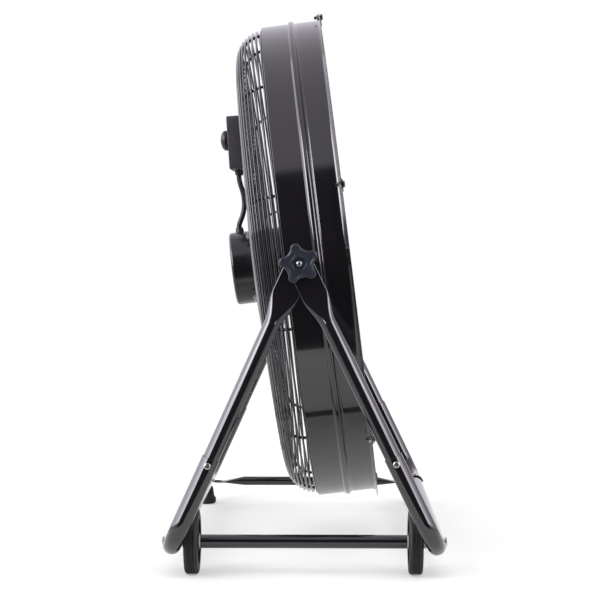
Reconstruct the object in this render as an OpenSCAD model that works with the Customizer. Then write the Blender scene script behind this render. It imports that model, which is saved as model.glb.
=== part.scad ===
// Drum fan on a two wheeled A-frame stand, in millimetres.
// +X is the way the air blows, -Y is the side with the wheels, +Z is up.
// The origin is on the floor, under the middle of the tilt axis.

/* [Drum] */
// Outside diameter of the rolled drum shell
drum_d = 650; // [600:5:700]
// Depth of the drum from its rear rim to its front face
drum_depth = 80; // [76:1:100]
// Sheet thickness of the drum
drum_wall = 1.2; // [0.8:0.1:2]
// Distance from the tilt axis forward to the middle of the drum
drum_ahead = 22; // [16:1:26]
// Width of the stiffening bead at its foot
bead_w = 10; // [7:0.5:14]
// Height of the stiffening bead
bead_h = 3.2; // [1:0.2:4]
// Height of the turned-out front lip
lip_h = 10; // [9.5:0.5:13]
// Inside radius of the bend at the lip
lip_bend = 3.2; // [2:0.2:3.2]
// Upward tilt of the drum at rest
head_tilt = 7; // [-10:1:20]
// Number of screws round the front lip
lip_screws = 6; // [4:1:8]
// Angle from the top towards the wheel side of the first screw and rib
rib_phase = 14.5; // [12:0.5:18]

/* [Guards] */
// Number of radial wires in each guard
guard_ribs = 12; // [8:1:14]
// Diameter of the ring wires
ring_wire = 2.8; // [2:0.1:3]
// Diameter of the radial wires
rib_wire = 4; // [3:0.2:4.4]
// Diameter of the rim hoops
hoop_wire = 4.4; // [3.6:0.2:4.8]
// Spacing of the rings across the faces
ring_pitch = 9.4; // [8:0.2:14]
// Depth of the rear guard behind the drum, at its centre
guard_depth = 52; // [48:1:58]
// Slope of the back of the rear guard
guard_slope = 3.2; // [1:0.1:4]
// Radius of the rear guard's corner
guard_corner = 41; // [36:1:44]
// Number of rings round the rear guard's corner
corner_rings = 10; // [6:1:12]
// Radius of the first ring round the guard plates
first_ring_r = 92; // [90:0.5:100]
// Diameter of the front guard's centre plate
front_plate_d = 150; // [120:2:170]

/* [Motor] */
// Diameter of the motor
motor_d = 100; // [90:1:104]
// Length of the motor shells
motor_len = 95; // [90:1:100]
// How far the motor stands out behind the guard plate
motor_out = 30; // [26:1:36]
// Wall of the motor shells
motor_wall = 2; // [1.5:0.25:3]
// Diameter of the shaft
shaft_d = 12; // [10:0.5:14]
// Outside diameter of the ball bearings
bearing_d = 28; // [26:1:32]
// Width of the ball bearings
bearing_w = 8; // [6:1:10]
// Length of the stator stack
stack_len = 36; // [28:1:40]
// How far outside the motor its four bolts stand
motor_bolt_out = 10; // [8:0.5:11]

/* [Fan] */
// Number of blades
blade_count = 3; // [2:1:4]
// Diameter over the blade tips
blade_d = 596; // [540:2:600]
// Blade sheet thickness
blade_t = 1.6; // [1.2:0.1:2.5]
// Width of a blade at its tip
blade_tip_w = 140; // [110:2:148]
// Width of a blade at its root
blade_root_w = 64; // [56:1:74]
// Pitch angle of the blades
blade_pitch = 20; // [14:1:21]
// Radius of the blades' camber
blade_camber_r = 360; // [300:5:450]
// Distance of the fan's middle behind the middle of the drum
fan_set = 2; // [1:0.5:4]

/* [Control box] */
// Height of the control box
box_h = 73; // [66:1:80]
// Width of the control box
box_w = 78; // [70:1:80]
// Depth of the control box from the guard to its back
box_deep = 20; // [18:1:30]
// Wall of the control box
box_wall = 2; // [1.5:0.25:2.5]
// Ring gap, counted from the first ring, at the middle of the control box
box_gap = 8; // [7:1:9]
// Diameter of the speed knob
knob_d = 28; // [24:1:34]
// Height of the speed knob
knob_h = 11; // [8:0.5:14]
// Diameter of the motor lead
lead_d = 7; // [6:0.25:8]

/* [Stand] */
// Height of the drum's lowest point above the floor
drum_clear = 58; // [50:1:75]
// Angle of the rear legs from upright
rear_angle = 24.4; // [22:0.2:27]
// Angle of the front legs from upright
front_angle = 25.8; // [23:0.2:28]
// Outside diameter of the upper legs
leg_d = 20; // [18:0.5:21]
// Wall of the upper legs
leg_wall = 1.2; // [1:0.1:1.6]
// Wall of the base tubes
base_wall = 1.15; // [1:0.05:1.6]
// Distance from the tilt axis down a leg to the top of the base tube
collar_at = 257; // [240:1:270]
// Length of the upper leg inside the base tube
leg_overlap = 40; // [30:1:44]
// Height of the base tubes' middle above the floor
run_z = 38.2; // [37:0.1:42]
// Bend radius of the base tubes at their middle
bend_r = 37; // [30:1:37]
// Width of the flattened leg ends
flat_w = 32; // [30:0.5:34]
// Thickness of the flattened leg ends
flat_t = 2.6; // [2:0.1:3.2]
// Length of the flattened leg ends below the tilt axis
flat_len = 42; // [38:1:46]
// Length of the swage from flat to round
swage_len = 37; // [30:1:54]

/* [Tilt clamps] */
// Diameter of the tilt bolts
bolt_d = 8; // [6:1:10]
// Length of the spacer between the drum and the legs
spacer_len = 25.6; // [25:0.2:30]
// Diameter of the spacer
spacer_d = 28; // [24:1:34]
// Diameter over the lobes of the star knobs
star_d = 49; // [42:1:56]
// Thickness of the star knobs
star_t = 15; // [12:0.5:20]
// Number of lobes
star_lobes = 5; // [4:1:7]
// How far a star knob's insert lifts its plastic off the washer
knob_lift = 1.8; // [1.6:0.1:3]

/* [Wheels and feet] */
// Radius of the wheels over their tyres
wheel_r = 40; // [36:0.5:40]
// Tread width of the wheels
wheel_w = 17; // [15:0.5:20]
// Gap between the rear base tube and its wheel
wheel_gap_rear = 3.6; // [3.6:0.1:6]
// Gap between the front base tube and its wheel
wheel_gap_front = 5.3; // [3.6:0.1:7]
// Diameter of the wheel bodies under the tyres
rim_d = 64; // [56:1:68]
// Diameter of the axle rod
axle_d = 8; // [6:0.5:8.5]
// Distance of the axle from the middle of the fan
axle_y = 300; // [290:1:300]
// Diameter of the tube between the wheels
axle_tube_d = 17; // [15:0.5:19]
// Height of the brace's middle above the floor
brace_z = 41; // [38:0.5:43]
// Distance of the brace from the middle of the fan
brace_y = 255; // [230:1:262]
// Diameter of the brace tube
brace_d = 13.4; // [12:0.2:15]
// Distance of the feet from the middle of the fan
foot_y = 298; // [290:1:302]
// Diameter of a foot at its widest
foot_d = 28; // [24:1:32]
// Height of a foot's wide rim
foot_rim = 9; // [6:0.5:12]
// Diameter of a foot at its top
foot_top_d = 19; // [17:0.5:22]

/* [Hidden] */
$fn = 96;

// Clearances
seat = 0.05;        // parts that rest on each other
run_gap = 0.08;     // radial running gap of bolts and bores
side_gap = 0.15;    // side gap of turning parts
cut = 1;            // how far a cutter reaches past a face

// Drum
drum_r = drum_d / 2;
drum_ri = drum_r - drum_wall;
rear_x = drum_ahead - drum_depth / 2;
front_x = drum_ahead + drum_depth / 2;
lip_r = drum_r + lip_h;
lip_screw_d = 4;
lip_nut_af = 7;
lip_nut_t = 3.2;
lip_head_d = 8.6;
lip_head_t = 2.4;
lip_screw_out = 3.4;
lip_screw_r = drum_r + lip_bend + lip_nut_af / 2 + 0.1;
pivot_z = drum_clear + drum_r;

// Rear guard, measured from the outer skin that the ring wires touch
corner_r = drum_r - 3 - guard_corner;
ring_arc = guard_corner - ring_wire / 2;
rib_arc = ring_arc - ring_wire / 2 - rib_wire / 2 - seat;
hoop_r = drum_ri - hoop_wire / 2 - 4 * seat;
rib_r = hoop_r - hoop_wire / 2 - rib_wire / 2 - seat;
corner_ri = rib_r - rib_arc;
hoop_in = 4;
rib_in = hoop_in + hoop_wire / 2 + 1;
// the back of the guard meets the corner where its slope is reached
corner_back = guard_depth - (corner_r - motor_d / 2 - 7) * tan(guard_slope)
  - guard_corner / cos(guard_slope);
corner_x = rear_x - corner_back;

// Motor and its plate
motor_bolt_r = motor_d / 2 + motor_bolt_out;
plate_t = 2.5;
plate_in = motor_d / 2 + 0.6;
plate_out = first_ring_r - ring_wire / 2 - 6;
rib_end_r = motor_bolt_r + 12;
line_r0 = corner_ri + rib_arc * sin(guard_slope);
line_x0 = corner_x - rib_arc * cos(guard_slope);
plate_x = line_x0 - (line_r0 - rib_end_r) * tan(guard_slope)
  - (rib_wire / 2) / cos(guard_slope) - seat;
motor_back = plate_x - plate_t - motor_out;
motor_front = motor_back + motor_len;
lug_t = 4;
lug_w = 15;
lug_r = motor_bolt_r + 7.5;
motor_bolt_d = 5;
motor_nut_af = 8;
motor_nut_t = 4;
motor_ri = motor_d / 2 - motor_wall;
shell_split = plate_x + 9;
end_round = 4;
boss_w = 3;
bore_r = shaft_d / 2 + 0.04;
shaft_step = 1;
rotor_r = 26;
air_gap = 0.5;
stack_x = shell_split - stack_len / 2;
slot_w = 2.4;
slot_len = 8;
slot_count = 16;

// Fan
fan_ahead = drum_ahead - fan_set;
blade_in = 44;      // inner end of the blades
blade_full = 58;    // where a blade's sides begin
hub_r = 17;
hub_len = 26;
hub_x = fan_ahead - 11;
arm_t = 3;
arm_w = 42;
arm_out = 104;
rivet_d = 5;
rivet_head_d = 9;
rivet_rows = [62, 78, 94];
shaft_end = hub_x + hub_len;
stub_d = 8;
nut_t = 6.5;
nut_af = 13;

// Control box, in the slope of the rear guard
box_r = first_ring_r + (box_gap + 0.5) * ring_pitch;
skin_x0 = corner_x - guard_corner * cos(guard_slope);
skin_r0 = corner_r + guard_corner * sin(guard_slope);
box_corner = 6;
cover_t = 3;
switch_w = 30;
switch_deep = 12;
stem_d = 6;
knob_up = 5;
box_screw_d = 4;
clamp_w = 12;
clamp_t = 2;
clamp_len = 56;
gland_d = 12;
gland_set = 15;     // from the motor's back to its gland
gland_len = 7;

// Stand
base_d = leg_d + 2 * base_wall + 0.2;
washer_t = 1.2;
disc_t = 2.2;
disc_r = 12;
plate_in_y = drum_r + seat + spacer_len + washer_t + 2 * seat;
rear_leg_y = plate_in_y + flat_t / 2;
front_leg_y = plate_in_y + flat_t * 1.5 + seat;
star_y = plate_in_y + 2 * flat_t + seat + disc_t + 2 * seat;
knob_y = star_y + knob_lift;
rear_run_x = -(pivot_z - run_z) * tan(rear_angle);
front_run_x = (pivot_z - run_z) * tan(front_angle);
screw_below = 9;
leg_screw_d = 5;
leg_head_d = 9;
leg_head_t = 3;
bolt_hole_r = bolt_d / 2 + run_gap;
backing_t = 3;
backing_w = 46;
backing_len = 34;
bolt_head_d = 20;
bolt_head_t = 4;
bolt_out = 9;
knob_recess_d = 15;
knob_recess = 4;
insert_wall = 2.5;

// Wheels
wheel_rear_x = rear_run_x + base_d / 2 + wheel_gap_rear + wheel_w / 2;
wheel_front_x = front_run_x - base_d / 2 - wheel_gap_front - wheel_w / 2;
tyre_round = 3.5;
washer_w = 1.6;
axle_end = 2.4;
cap_d = 12;
brace_tab_t = 2;
brace_tab_w = 18;
brace_taper = 28;
brace_flat = 20;

module head() translate([0, 0, pivot_z]) rotate([0, -head_tilt, 0]) children();
// turns a shape revolved about Z so that it is revolved about the airflow axis
module axial(x = 0) translate([x, 0, 0]) rotate([0, 90, 0]) children();
// places a shape drawn at the top of the head at angles round its axis
module round_head(n, phase = 0) for (i = [0:n - 1]) rotate([phase + i * 360 / n, 0, 0]) children();
// mirrors a shape drawn on the wheel side to the far side
module both_sides() {
  children();
  mirror([0, 1, 0]) children();
}
// rings are the part's most repeated form, so their wire has a section of twelve sides
module torus(r, d) rotate_extrude() translate([r, 0]) circle(d = d, $fn = 12);
module hex(af, t) cylinder(d = af / cos(30), h = t, $fn = 6);
module rounded_plate(w, h, r) {
  square([w - 2 * r, h], center = true);
  square([w, h - 2 * r], center = true);
  for (x = [-1, 1], y = [-1, 1]) translate([x * (w / 2 - r), y * (h / 2 - r)]) circle(r, $fn = 32);
}
module ring(r0, r1, t) difference() {
  cylinder(r = r1, h = t);
  translate([0, 0, -cut]) cylinder(r = r0, h = t + 2 * cut);
}

// DRUM

// half of the drum's section: the radius is X and the depth is Y
function lip_arc(r, n) = [for (i = [0:n]) let (a = 90 * i / n)
  [drum_r + lip_bend - r * cos(a), front_x - drum_wall - lip_bend + r * sin(a)]];
function bead_line(r) = [[r, drum_ahead - bead_w / 2], [r + bead_h * 0.85, drum_ahead - bead_w * 0.3],
  [r + bead_h, drum_ahead - bead_w * 0.18], [r + bead_h, drum_ahead + bead_w * 0.18],
  [r + bead_h * 0.85, drum_ahead + bead_w * 0.3], [r, drum_ahead + bead_w / 2]];
function reversed(list) = [for (i = [len(list) - 1:-1:0]) list[i]];
module drum_section() polygon(concat(
  [[drum_ri, rear_x], [drum_r, rear_x]], bead_line(drum_r), lip_arc(lip_bend, 6),
  [[lip_r, front_x - drum_wall], [lip_r, front_x]],
  reversed(lip_arc(lip_bend + drum_wall, 6)), reversed(bead_line(drum_ri))));
module drum_shell() color("#1b1b1d") head() difference() {
  axial() rotate_extrude($fn = 180) drum_section();
  rotate([90, 0, 0]) translate([0, 0, -lip_r]) cylinder(r = bolt_hole_r, h = 2 * lip_r);
  round_head(lip_screws, rib_phase) translate([0, 0, lip_screw_r])
    axial(front_x - drum_wall - cut) cylinder(d = lip_screw_d + 0.4, h = drum_wall + 2 * cut, $fn = 24);
}

// FRONT GUARD

hoop_x = front_x - hoop_wire / 2 - seat;
front_ring_x = front_x - ring_wire / 2 - seat;
front_rib_x = front_ring_x - ring_wire / 2 - rib_wire / 2 - seat;
front_rib_out = hoop_r - hoop_wire / 2 - seat;
front_ring_n = floor((hoop_r - 2 * ring_wire - first_ring_r) / ring_pitch);
module front_guard_rings() color("#1b1b1d") head() {
  axial(hoop_x) torus(hoop_r, hoop_wire);
  for (i = [0:front_ring_n]) axial(front_ring_x) torus(first_ring_r + i * ring_pitch, ring_wire);
}
// twelve straight wires, welded at their inner ends to a ring
module front_guard_ribs() color("#1b1b1d") head() {
  rib_in_r = front_plate_d / 2 - 14;
  axial(front_rib_x - rib_wire / 4) ring(rib_in_r - 6, rib_in_r - seat, rib_wire / 2);
  round_head(guard_ribs, rib_phase) translate([front_rib_x, 0, rib_in_r])
    cylinder(d = rib_wire, h = front_rib_out - rib_in_r, $fn = 24);
}
// blank, slightly crowned centre plate in front of the wires
module front_guard_plate() color("#1b1b1d") head()
  axial(front_rib_x + rib_wire / 2 + seat) rotate_extrude() polygon([
    [0, 1.4], [front_plate_d * 0.42, 0], [front_plate_d / 2, 0], [front_plate_d / 2, 1.2],
    [front_plate_d * 0.42, 1.2], [0, 2.6]]);
// tabs that join the hoop to the drum's lip
module front_guard_lugs() color("#1b1b1d") head() {
  lug_low = hoop_r - hoop_wire / 4;
  round_head(lip_screws, rib_phase) difference() {
    translate([front_x + seat, -6, lug_low]) cube([1.4, 12, lip_r - lug_low]);
    translate([0, 0, lip_screw_r]) axial(front_x - cut) cylinder(d = lip_screw_d + 0.4, h = 3 + 2 * cut, $fn = 24);
  }
}
lug_face = front_x + seat + 1.4;
module lip_screws_set() color("#202022") head() round_head(lip_screws, rib_phase)
  translate([0, 0, lip_screw_r]) axial() {
    back = front_x - drum_wall - seat - lip_nut_t - lip_screw_out;
    translate([0, 0, back]) cylinder(d = lip_screw_d, h = lug_face + seat - back, $fn = 24);
    translate([0, 0, lug_face + seat]) cylinder(d = lip_head_d, h = lip_head_t * 0.5, $fn = 32);
    translate([0, 0, lug_face + seat + lip_head_t * 0.5])
      cylinder(d1 = lip_head_d, d2 = lip_head_d * 0.7, h = lip_head_t * 0.5, $fn = 32);
  }
module lip_nuts() color("silver") head() round_head(lip_screws, rib_phase)
  translate([0, 0, lip_screw_r]) axial(front_x - drum_wall - seat - lip_nut_t) difference() {
    rotate([0, 0, 30]) hex(lip_nut_af, lip_nut_t);
    translate([0, 0, -cut]) cylinder(d = lip_screw_d + 2 * seat, h = lip_nut_t + 2 * cut, $fn = 24);
  }

// REAR GUARD

// rings on the sloping back: the count follows from the pitch
face_len = skin_r0 - ring_wire - first_ring_r;
face_ring_n = floor(face_len / ring_pitch);
function face_x(r, in) = skin_x0 - (skin_r0 - r) * tan(guard_slope) + in / cos(guard_slope);
module rear_guard_face_rings() color("#1b1b1d") head()
  for (i = [0:face_ring_n]) let (r = first_ring_r + i * ring_pitch)
    axial(face_x(r, ring_wire / 2)) torus(r, ring_wire);
module rear_guard_corner_rings() color("#1b1b1d") head() {
  for (i = [0:corner_rings - 1]) let (a = (90 - guard_slope) * (i + 0.5) / corner_rings)
    axial(corner_x - ring_arc * sin(a)) torus(corner_r + ring_arc * cos(a), ring_wire);
  axial(rear_x + hoop_in) torus(hoop_r, hoop_wire);
}
// each wire runs from the plate up the back, round the corner and into the drum
wire_step = 0.04;
module guard_rib() {
  line_len = (line_r0 - rib_end_r) / cos(guard_slope);
  translate([line_x0, 0, line_r0]) rotate([0, 180 + guard_slope, 0]) translate([0, 0, -0.5])
    cylinder(d = rib_wire - wire_step, h = line_len + 0.5, $fn = 24);
  translate([corner_x, 0, corner_ri]) rotate([90, 0, 0]) rotate([0, 0, 90])
    rotate_extrude(angle = 90 - guard_slope) translate([rib_arc, 0]) circle(d = rib_wire, $fn = 24);
  translate([corner_x, 0, rib_r]) axial(-0.5)
    cylinder(d = rib_wire - wire_step, h = rear_x + rib_in - corner_x + 0.5, $fn = 24);
}
module rear_guard_ribs() color("#1b1b1d") head() round_head(guard_ribs, rib_phase) guard_rib();
module rear_guard_plate() color("#1b1b1d") head() difference() {
  axial(plate_x - plate_t) ring(plate_in, plate_out, plate_t);
  round_head(4, 45) translate([0, 0, motor_bolt_r]) axial(plate_x - plate_t - cut)
    cylinder(d = motor_bolt_d + 0.4, h = plate_t + 2 * cut, $fn = 24);
}

// MOTOR

module motor_rear_shell() color("#232325") head() difference() {
  union() {
    axial() rotate_extrude() polygon([
      [0, motor_back], [motor_d / 2 - end_round, motor_back],
      [motor_d / 2 - end_round * 0.3, motor_back + end_round * 0.3],
      [motor_d / 2, motor_back + end_round], [motor_d / 2, shell_split], [motor_ri, shell_split],
      [motor_ri, motor_back + motor_wall], [bearing_d / 2 + boss_w, motor_back + motor_wall],
      [bearing_d / 2 + boss_w, motor_back + motor_wall + bearing_w],
      [bearing_d / 2 + seat, motor_back + motor_wall + bearing_w],
      [bearing_d / 2 + seat, motor_back + motor_wall], [0, motor_back + motor_wall]]);
    round_head(4, 45) translate([plate_x + seat, -lug_w / 2, motor_ri + 0.5])
      cube([lug_t, lug_w, lug_r - motor_ri - 0.5]);
  }
  round_head(4, 45) translate([0, 0, motor_bolt_r]) axial(plate_x - cut)
    cylinder(d = motor_bolt_d + 0.4, h = lug_t + 2 * cut, $fn = 24);
  round_head(slot_count, 360 / slot_count / 2) translate([motor_back + 12, -slot_w / 2, motor_ri - 1])
    cube([slot_len, slot_w, motor_wall + 2]);
}
module motor_front_shell() color("#232325") head() axial() rotate_extrude() polygon([
  [motor_ri, shell_split + seat], [motor_d / 2, shell_split + seat],
  [motor_d / 2, motor_front - end_round], [motor_d / 2 - end_round * 0.3, motor_front - end_round * 0.3],
  [motor_d / 2 - end_round, motor_front], [shaft_d / 2 + 1.5, motor_front],
  [shaft_d / 2 + 1.5, motor_front - motor_wall], [bearing_d / 2 + seat, motor_front - motor_wall],
  [bearing_d / 2 + seat, motor_front - motor_wall - bearing_w],
  [bearing_d / 2 + boss_w, motor_front - motor_wall - bearing_w],
  [bearing_d / 2 + boss_w, motor_front - motor_wall], [motor_ri, motor_front - motor_wall]]);
module motor_stator() color("#8a8d90") head() axial(stack_x) difference() {
  cylinder(r = motor_ri - seat, h = stack_len);
  translate([0, 0, -cut]) cylinder(r = rotor_r + air_gap, h = stack_len + 2 * cut);
}
module stator_windings() color("#9a5a2a") head() for (x = [stack_x - 5 - seat, stack_x + stack_len + 5 + seat])
  axial(x) rotate_extrude() translate([(motor_ri + rotor_r) / 2, 0]) rounded_plate(12, 10, 3);
module motor_bearings() color("#b9bcc0") head()
  for (x = [motor_back + motor_wall + seat, motor_front - motor_wall - bearing_w])
    axial(x) ring(bore_r, bearing_d / 2, bearing_w - seat);
module motor_bolts() color("silver") head() round_head(4, 45) translate([0, 0, motor_bolt_r]) axial() {
  back = plate_x - plate_t - motor_nut_t - 1.6;
  translate([0, 0, back]) cylinder(d = motor_bolt_d, h = plate_x + lug_t + 2 * seat - back, $fn = 24);
  translate([0, 0, plate_x + lug_t + 2 * seat]) hex(motor_nut_af, 3.5);
}
module motor_nuts() color("silver") head() round_head(4, 45) translate([0, 0, motor_bolt_r])
  axial(plate_x - plate_t - seat - motor_nut_t) difference() {
    hex(motor_nut_af, motor_nut_t);
    translate([0, 0, -cut]) cylinder(d = motor_bolt_d + 2 * seat, h = motor_nut_t + 2 * cut, $fn = 24);
  }

// ROTOR AND FAN

module rotor_shaft() color("#c8cacd") head() axial() {
  translate([0, 0, motor_back + motor_wall + 2 * seat + 0.5])
    cylinder(d = shaft_d, h = shaft_end - motor_back - motor_wall - 2 * seat - 0.5);
  translate([0, 0, shaft_end]) cylinder(d = stub_d, h = nut_t + 4);
}
module rotor_core() color("#8a8d90") head() axial(stack_x) ring(shaft_d / 2 + seat, rotor_r, stack_len);
// the blades and arms are parts of one bent sheet: a thin cylinder along the radius
module bent_sheet(out, t, r0, r1) translate([blade_camber_r, 0, r0]) difference() {
  cylinder(r = blade_camber_r + out, h = r1 - r0, $fn = 360);
  translate([0, 0, -cut]) cylinder(r = blade_camber_r + out - t, h = r1 - r0 + 2 * cut, $fn = 360);
}
function blade_half(u) = let (k = (u - 48) / (blade_d / 2 - 48))
  blade_root_w / 2 + (blade_tip_w - blade_root_w) / 2 * sin(90 * min(1, k * 1.25));
// outline in chord and radius, with a rounded root and rounded tip corners
module blade_outline() {
  tip = blade_d / 2;
  n = 9;
  c = 26;
  side = [for (i = [0:n]) let (u = blade_full + (tip - c - blade_full) * i / n) [blade_half(u) + 6 * sin(180 * i / n), u]];
  lead = [for (i = [0:n]) let (u = blade_full + (tip - c - blade_full) * i / n) [blade_half(u), u]];
  tip_lead = [for (i = [1:6]) [blade_half(tip) - c + c * cos(15 * i), tip - c + c * sin(15 * i)]];
  tip_trail = [for (i = [6:-1:1]) [-blade_half(tip) + c - c * cos(15 * i), tip - c + c * sin(15 * i)]];
  polygon(concat([[-hub_r + 1, blade_in], [hub_r - 1, blade_in]], lead, tip_lead, tip_trail, reversed([for (p = side) [-p[0], p[1]]])));
}
module blade_place() rotate([0, 0, -blade_pitch]) children();
module fan_blade() intersection() {
  translate([fan_ahead, 0, 0]) blade_place() intersection() {
    bent_sheet(0, blade_t, 40, blade_d / 2 + 1);
    translate([-cut, 0, 0]) rotate([90, 0, 90]) linear_extrude(40) blade_outline();
  }
  axial(rear_x - 20) cylinder(d = blade_d, h = drum_depth + 40, $fn = 180);
}
module fan_blades() color("#b7babd") head() round_head(blade_count) difference() {
  fan_blade();
  translate([fan_ahead, 0, 0]) blade_place() for (u = rivet_rows) translate([-4, 0, u]) rotate([0, 90, 0])
    cylinder(d = rivet_d + 2 * seat, h = 12, $fn = 24);
}
module hub_arm() intersection() {
  translate([fan_ahead, 0, 0]) blade_place() bent_sheet(arm_t + seat, arm_t, 0, arm_out);
  translate([fan_ahead, 0, 0]) blade_place() translate([-arm_t * 2, 0, 0]) rotate([90, 0, 90]) linear_extrude(20) {
    translate([-arm_w / 2, 0]) square([arm_w, arm_out - arm_w / 2]);
    translate([0, arm_out - arm_w / 2]) circle(d = arm_w - 0.01, $fn = 48);
  }
}
module fan_hub() color("#9da0a4") head() difference() {
  union() {
    axial(hub_x) cylinder(r = hub_r, h = hub_len);
    round_head(blade_count) hub_arm();
  }
  axial(hub_x - 10) cylinder(r = shaft_d / 2 + seat, h = hub_len + 20);
  round_head(blade_count) translate([fan_ahead, 0, 0]) blade_place() for (u = rivet_rows)
    translate([-10, 0, u]) rotate([0, 90, 0]) cylinder(d = rivet_d + 2 * seat, h = 12, $fn = 24);
}
module blade_rivets() color("silver") head() round_head(blade_count) translate([fan_ahead, 0, 0]) blade_place()
  for (u = rivet_rows) translate([0, 0, u]) rotate([0, 90, 0]) {
    low = -arm_t - 3 * seat - 1.6;
    high = blade_t + 2 * seat;
    translate([0, 0, low]) cylinder(d = rivet_head_d, h = 1.6, $fn = 32);
    translate([0, 0, low + 0.8]) cylinder(d = rivet_d, h = high - low, $fn = 24);
    translate([0, 0, high]) cylinder(d1 = rivet_head_d, d2 = rivet_head_d * 0.6, h = 1.8, $fn = 32);
  }
module hub_nut() color("silver") head() axial(shaft_end + seat) difference() {
  hex(nut_af, nut_t);
  translate([0, 0, -cut]) cylinder(d = stub_d + 2 * seat, h = nut_t + 2 * cut);
}

// CONTROL BOX

// frame of the box: +Z out of the guard's back, +Y up the slope, at the box's middle
module box_place() head() translate([face_x(box_r, 0), 0, box_r]) rotate([0, guard_slope, 0])
  rotate([90, 0, -90]) children();
body_deep = box_deep - cover_t;
module control_box_body() color("#1e1e20") box_place() difference() {
  translate([0, 0, seat]) linear_extrude(body_deep - seat) rounded_plate(box_w, box_h, box_corner);
  translate([0, 0, box_wall]) linear_extrude(body_deep)
    rounded_plate(box_w - 2 * box_wall, box_h - 2 * box_wall, box_corner - box_wall);
  for (x = [-1, 1]) translate([x * clamp_len * 0.36, 0, -cut])
    cylinder(d = box_screw_d + 0.3, h = box_wall + 2 * cut, $fn = 24);
  for (x = [0, cord_gland_x]) translate([x, -box_h / 2 - cut, gland_z]) rotate([-90, 0, 0])
    cylinder(d = gland_neck, h = box_wall + 2 * cut, $fn = 32);
}
cord_gland_x = -24;
gland_neck = lead_d + 2;
gland_z = body_deep / 2 + 1;
module control_box_cover() color("#1e1e20") box_place() difference() {
  union() {
    translate([0, 0, body_deep + seat]) linear_extrude(cover_t - seat) rounded_plate(box_w, box_h, box_corner);
    translate([0, knob_up, box_deep]) cylinder(d = knob_d + 6, h = 0.8, $fn = 64);
  }
  translate([0, knob_up, body_deep - cut]) cylinder(d = stem_d + 2 * run_gap + 0.4, h = cover_t + 2 + cut, $fn = 32);
}
module speed_switch() color("#d8d3c4") box_place() difference() {
  translate([-switch_w / 2, knob_up - switch_w / 2, body_deep - switch_deep]) cube([switch_w, switch_w, switch_deep - seat]);
  translate([0, knob_up, body_deep - 8]) cylinder(d = stem_d + 2 * run_gap, h = 8 + cut, $fn = 32);
}
module run_capacitor() color("#d9d9d4") box_place() translate([0, -box_h / 2 + box_wall + 8.6, box_wall + 6.1])
  rotate([0, 90, 0]) translate([0, 0, -26]) cylinder(d = 12, h = 40, $fn = 32);
module box_clamp_bars() color("#5c5f63") box_place() translate([0, 0, -ring_wire - 2 * seat - clamp_t]) difference() {
  translate([-clamp_len / 2, -clamp_w / 2, 0]) cube([clamp_len, clamp_w, clamp_t]);
  for (x = [-1, 1]) translate([x * clamp_len * 0.36, 0, -cut])
    cylinder(d = box_screw_d + 0.3, h = clamp_t + 2 * cut, $fn = 24);
}
module box_screws() color("silver") box_place() for (x = [-1, 1]) translate([x * clamp_len * 0.36, 0, 0]) {
  low = -ring_wire - 3 * seat - clamp_t - 2.6;
  translate([0, 0, low]) hex(7, 2.6);
  translate([0, 0, low + 1]) cylinder(d = box_screw_d, h = box_wall + seat - low - 1, $fn = 24);
  translate([0, 0, box_wall + seat]) cylinder(d = 7.4, h = 2.2, $fn = 32);
}
module speed_knob() color("#1e1e20") box_place() translate([0, knob_up, box_deep + 0.8 + side_gap]) {
  rotate_extrude() polygon(concat([[0, 0], [knob_d / 2, 0], [knob_d / 2, knob_h * 0.35]],
    [for (i = [1:8]) let (a = i * 90 / 8) [knob_d / 2 * cos(a), knob_h * (0.35 + 0.6 * sin(a))]]));
  translate([-1.5, 0, knob_h * 0.3]) cube([3, knob_d / 2 - 0.6, knob_h * 0.7]);
  translate([0, 0, -0.8 - side_gap - cover_t - 7]) cylinder(d = stem_d, h = 0.8 + side_gap + cover_t + 7 + 1, $fn = 32);
}
// the gland on the box and the gland on the motor
motor_gland_x = motor_back + gland_set;
module box_gland(x) box_place() translate([x, -box_h / 2 - gland_len, gland_z]) rotate([-90, 0, 0]) difference() {
  union() {
    cylinder(d1 = lead_d + 2.4, d2 = gland_d, h = gland_len - seat, $fn = 32);
    cylinder(d = gland_neck - 0.2, h = gland_len + box_wall, $fn = 32);
  }
  translate([0, 0, -cut]) cylinder(d = lead_d + 0.3, h = gland_len + box_wall + 2 * cut, $fn = 32);
}
// one gland for the motor lead, an empty one for a mains cord and one on the motor
module cable_glands() color("#18181a") {
  box_gland(0);
  box_gland(cord_gland_x);
  head() translate([motor_gland_x, 0, motor_d / 2 - 0.6]) difference() {
    cylinder(d1 = gland_d, d2 = lead_d + 2.4, h = gland_len, $fn = 32);
    translate([0, 0, -cut]) cylinder(d = lead_d + 0.3, h = gland_len + 2 * cut, $fn = 32);
    rotate([0, 90, 0]) translate([motor_d / 2 - 0.6, 0, -gland_d]) cylinder(d = motor_d + 2 * seat, h = 2 * gland_d, $fn = 180);
  }
}
// Middle line of the motor lead in the head's own frame: out of the box's gland, down
// beside the rings at a set gap, and round into the motor's gland
function box_point(u, w) = [face_x(box_r, 0) + u * sin(guard_slope) - w * cos(guard_slope),
  box_r + u * cos(guard_slope) + w * sin(guard_slope)];
function cubic(a, b, c, d, t) = a * pow(1 - t, 3) + 3 * b * t * pow(1 - t, 2) + 3 * c * t * t * (1 - t) + d * pow(t, 3);
function curve(a, b, c, d, n) = [for (i = [1:n]) cubic(a, b, c, d, i / n)];
lead_gap = 1;
lead_top = box_point(-box_h / 2 - gland_len - 1, gland_z);
lead_low = [motor_gland_x, motor_d / 2 + gland_len];
mid_z = lead_low[1] + (lead_top[1] - lead_low[1]) * 0.55;
lead_mid = [face_x(mid_z, -lead_d / 2 - lead_gap), mid_z];
hang = (lead_top[1] - mid_z) * 0.45;
drop = (mid_z - lead_low[1]) * 0.6;
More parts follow.
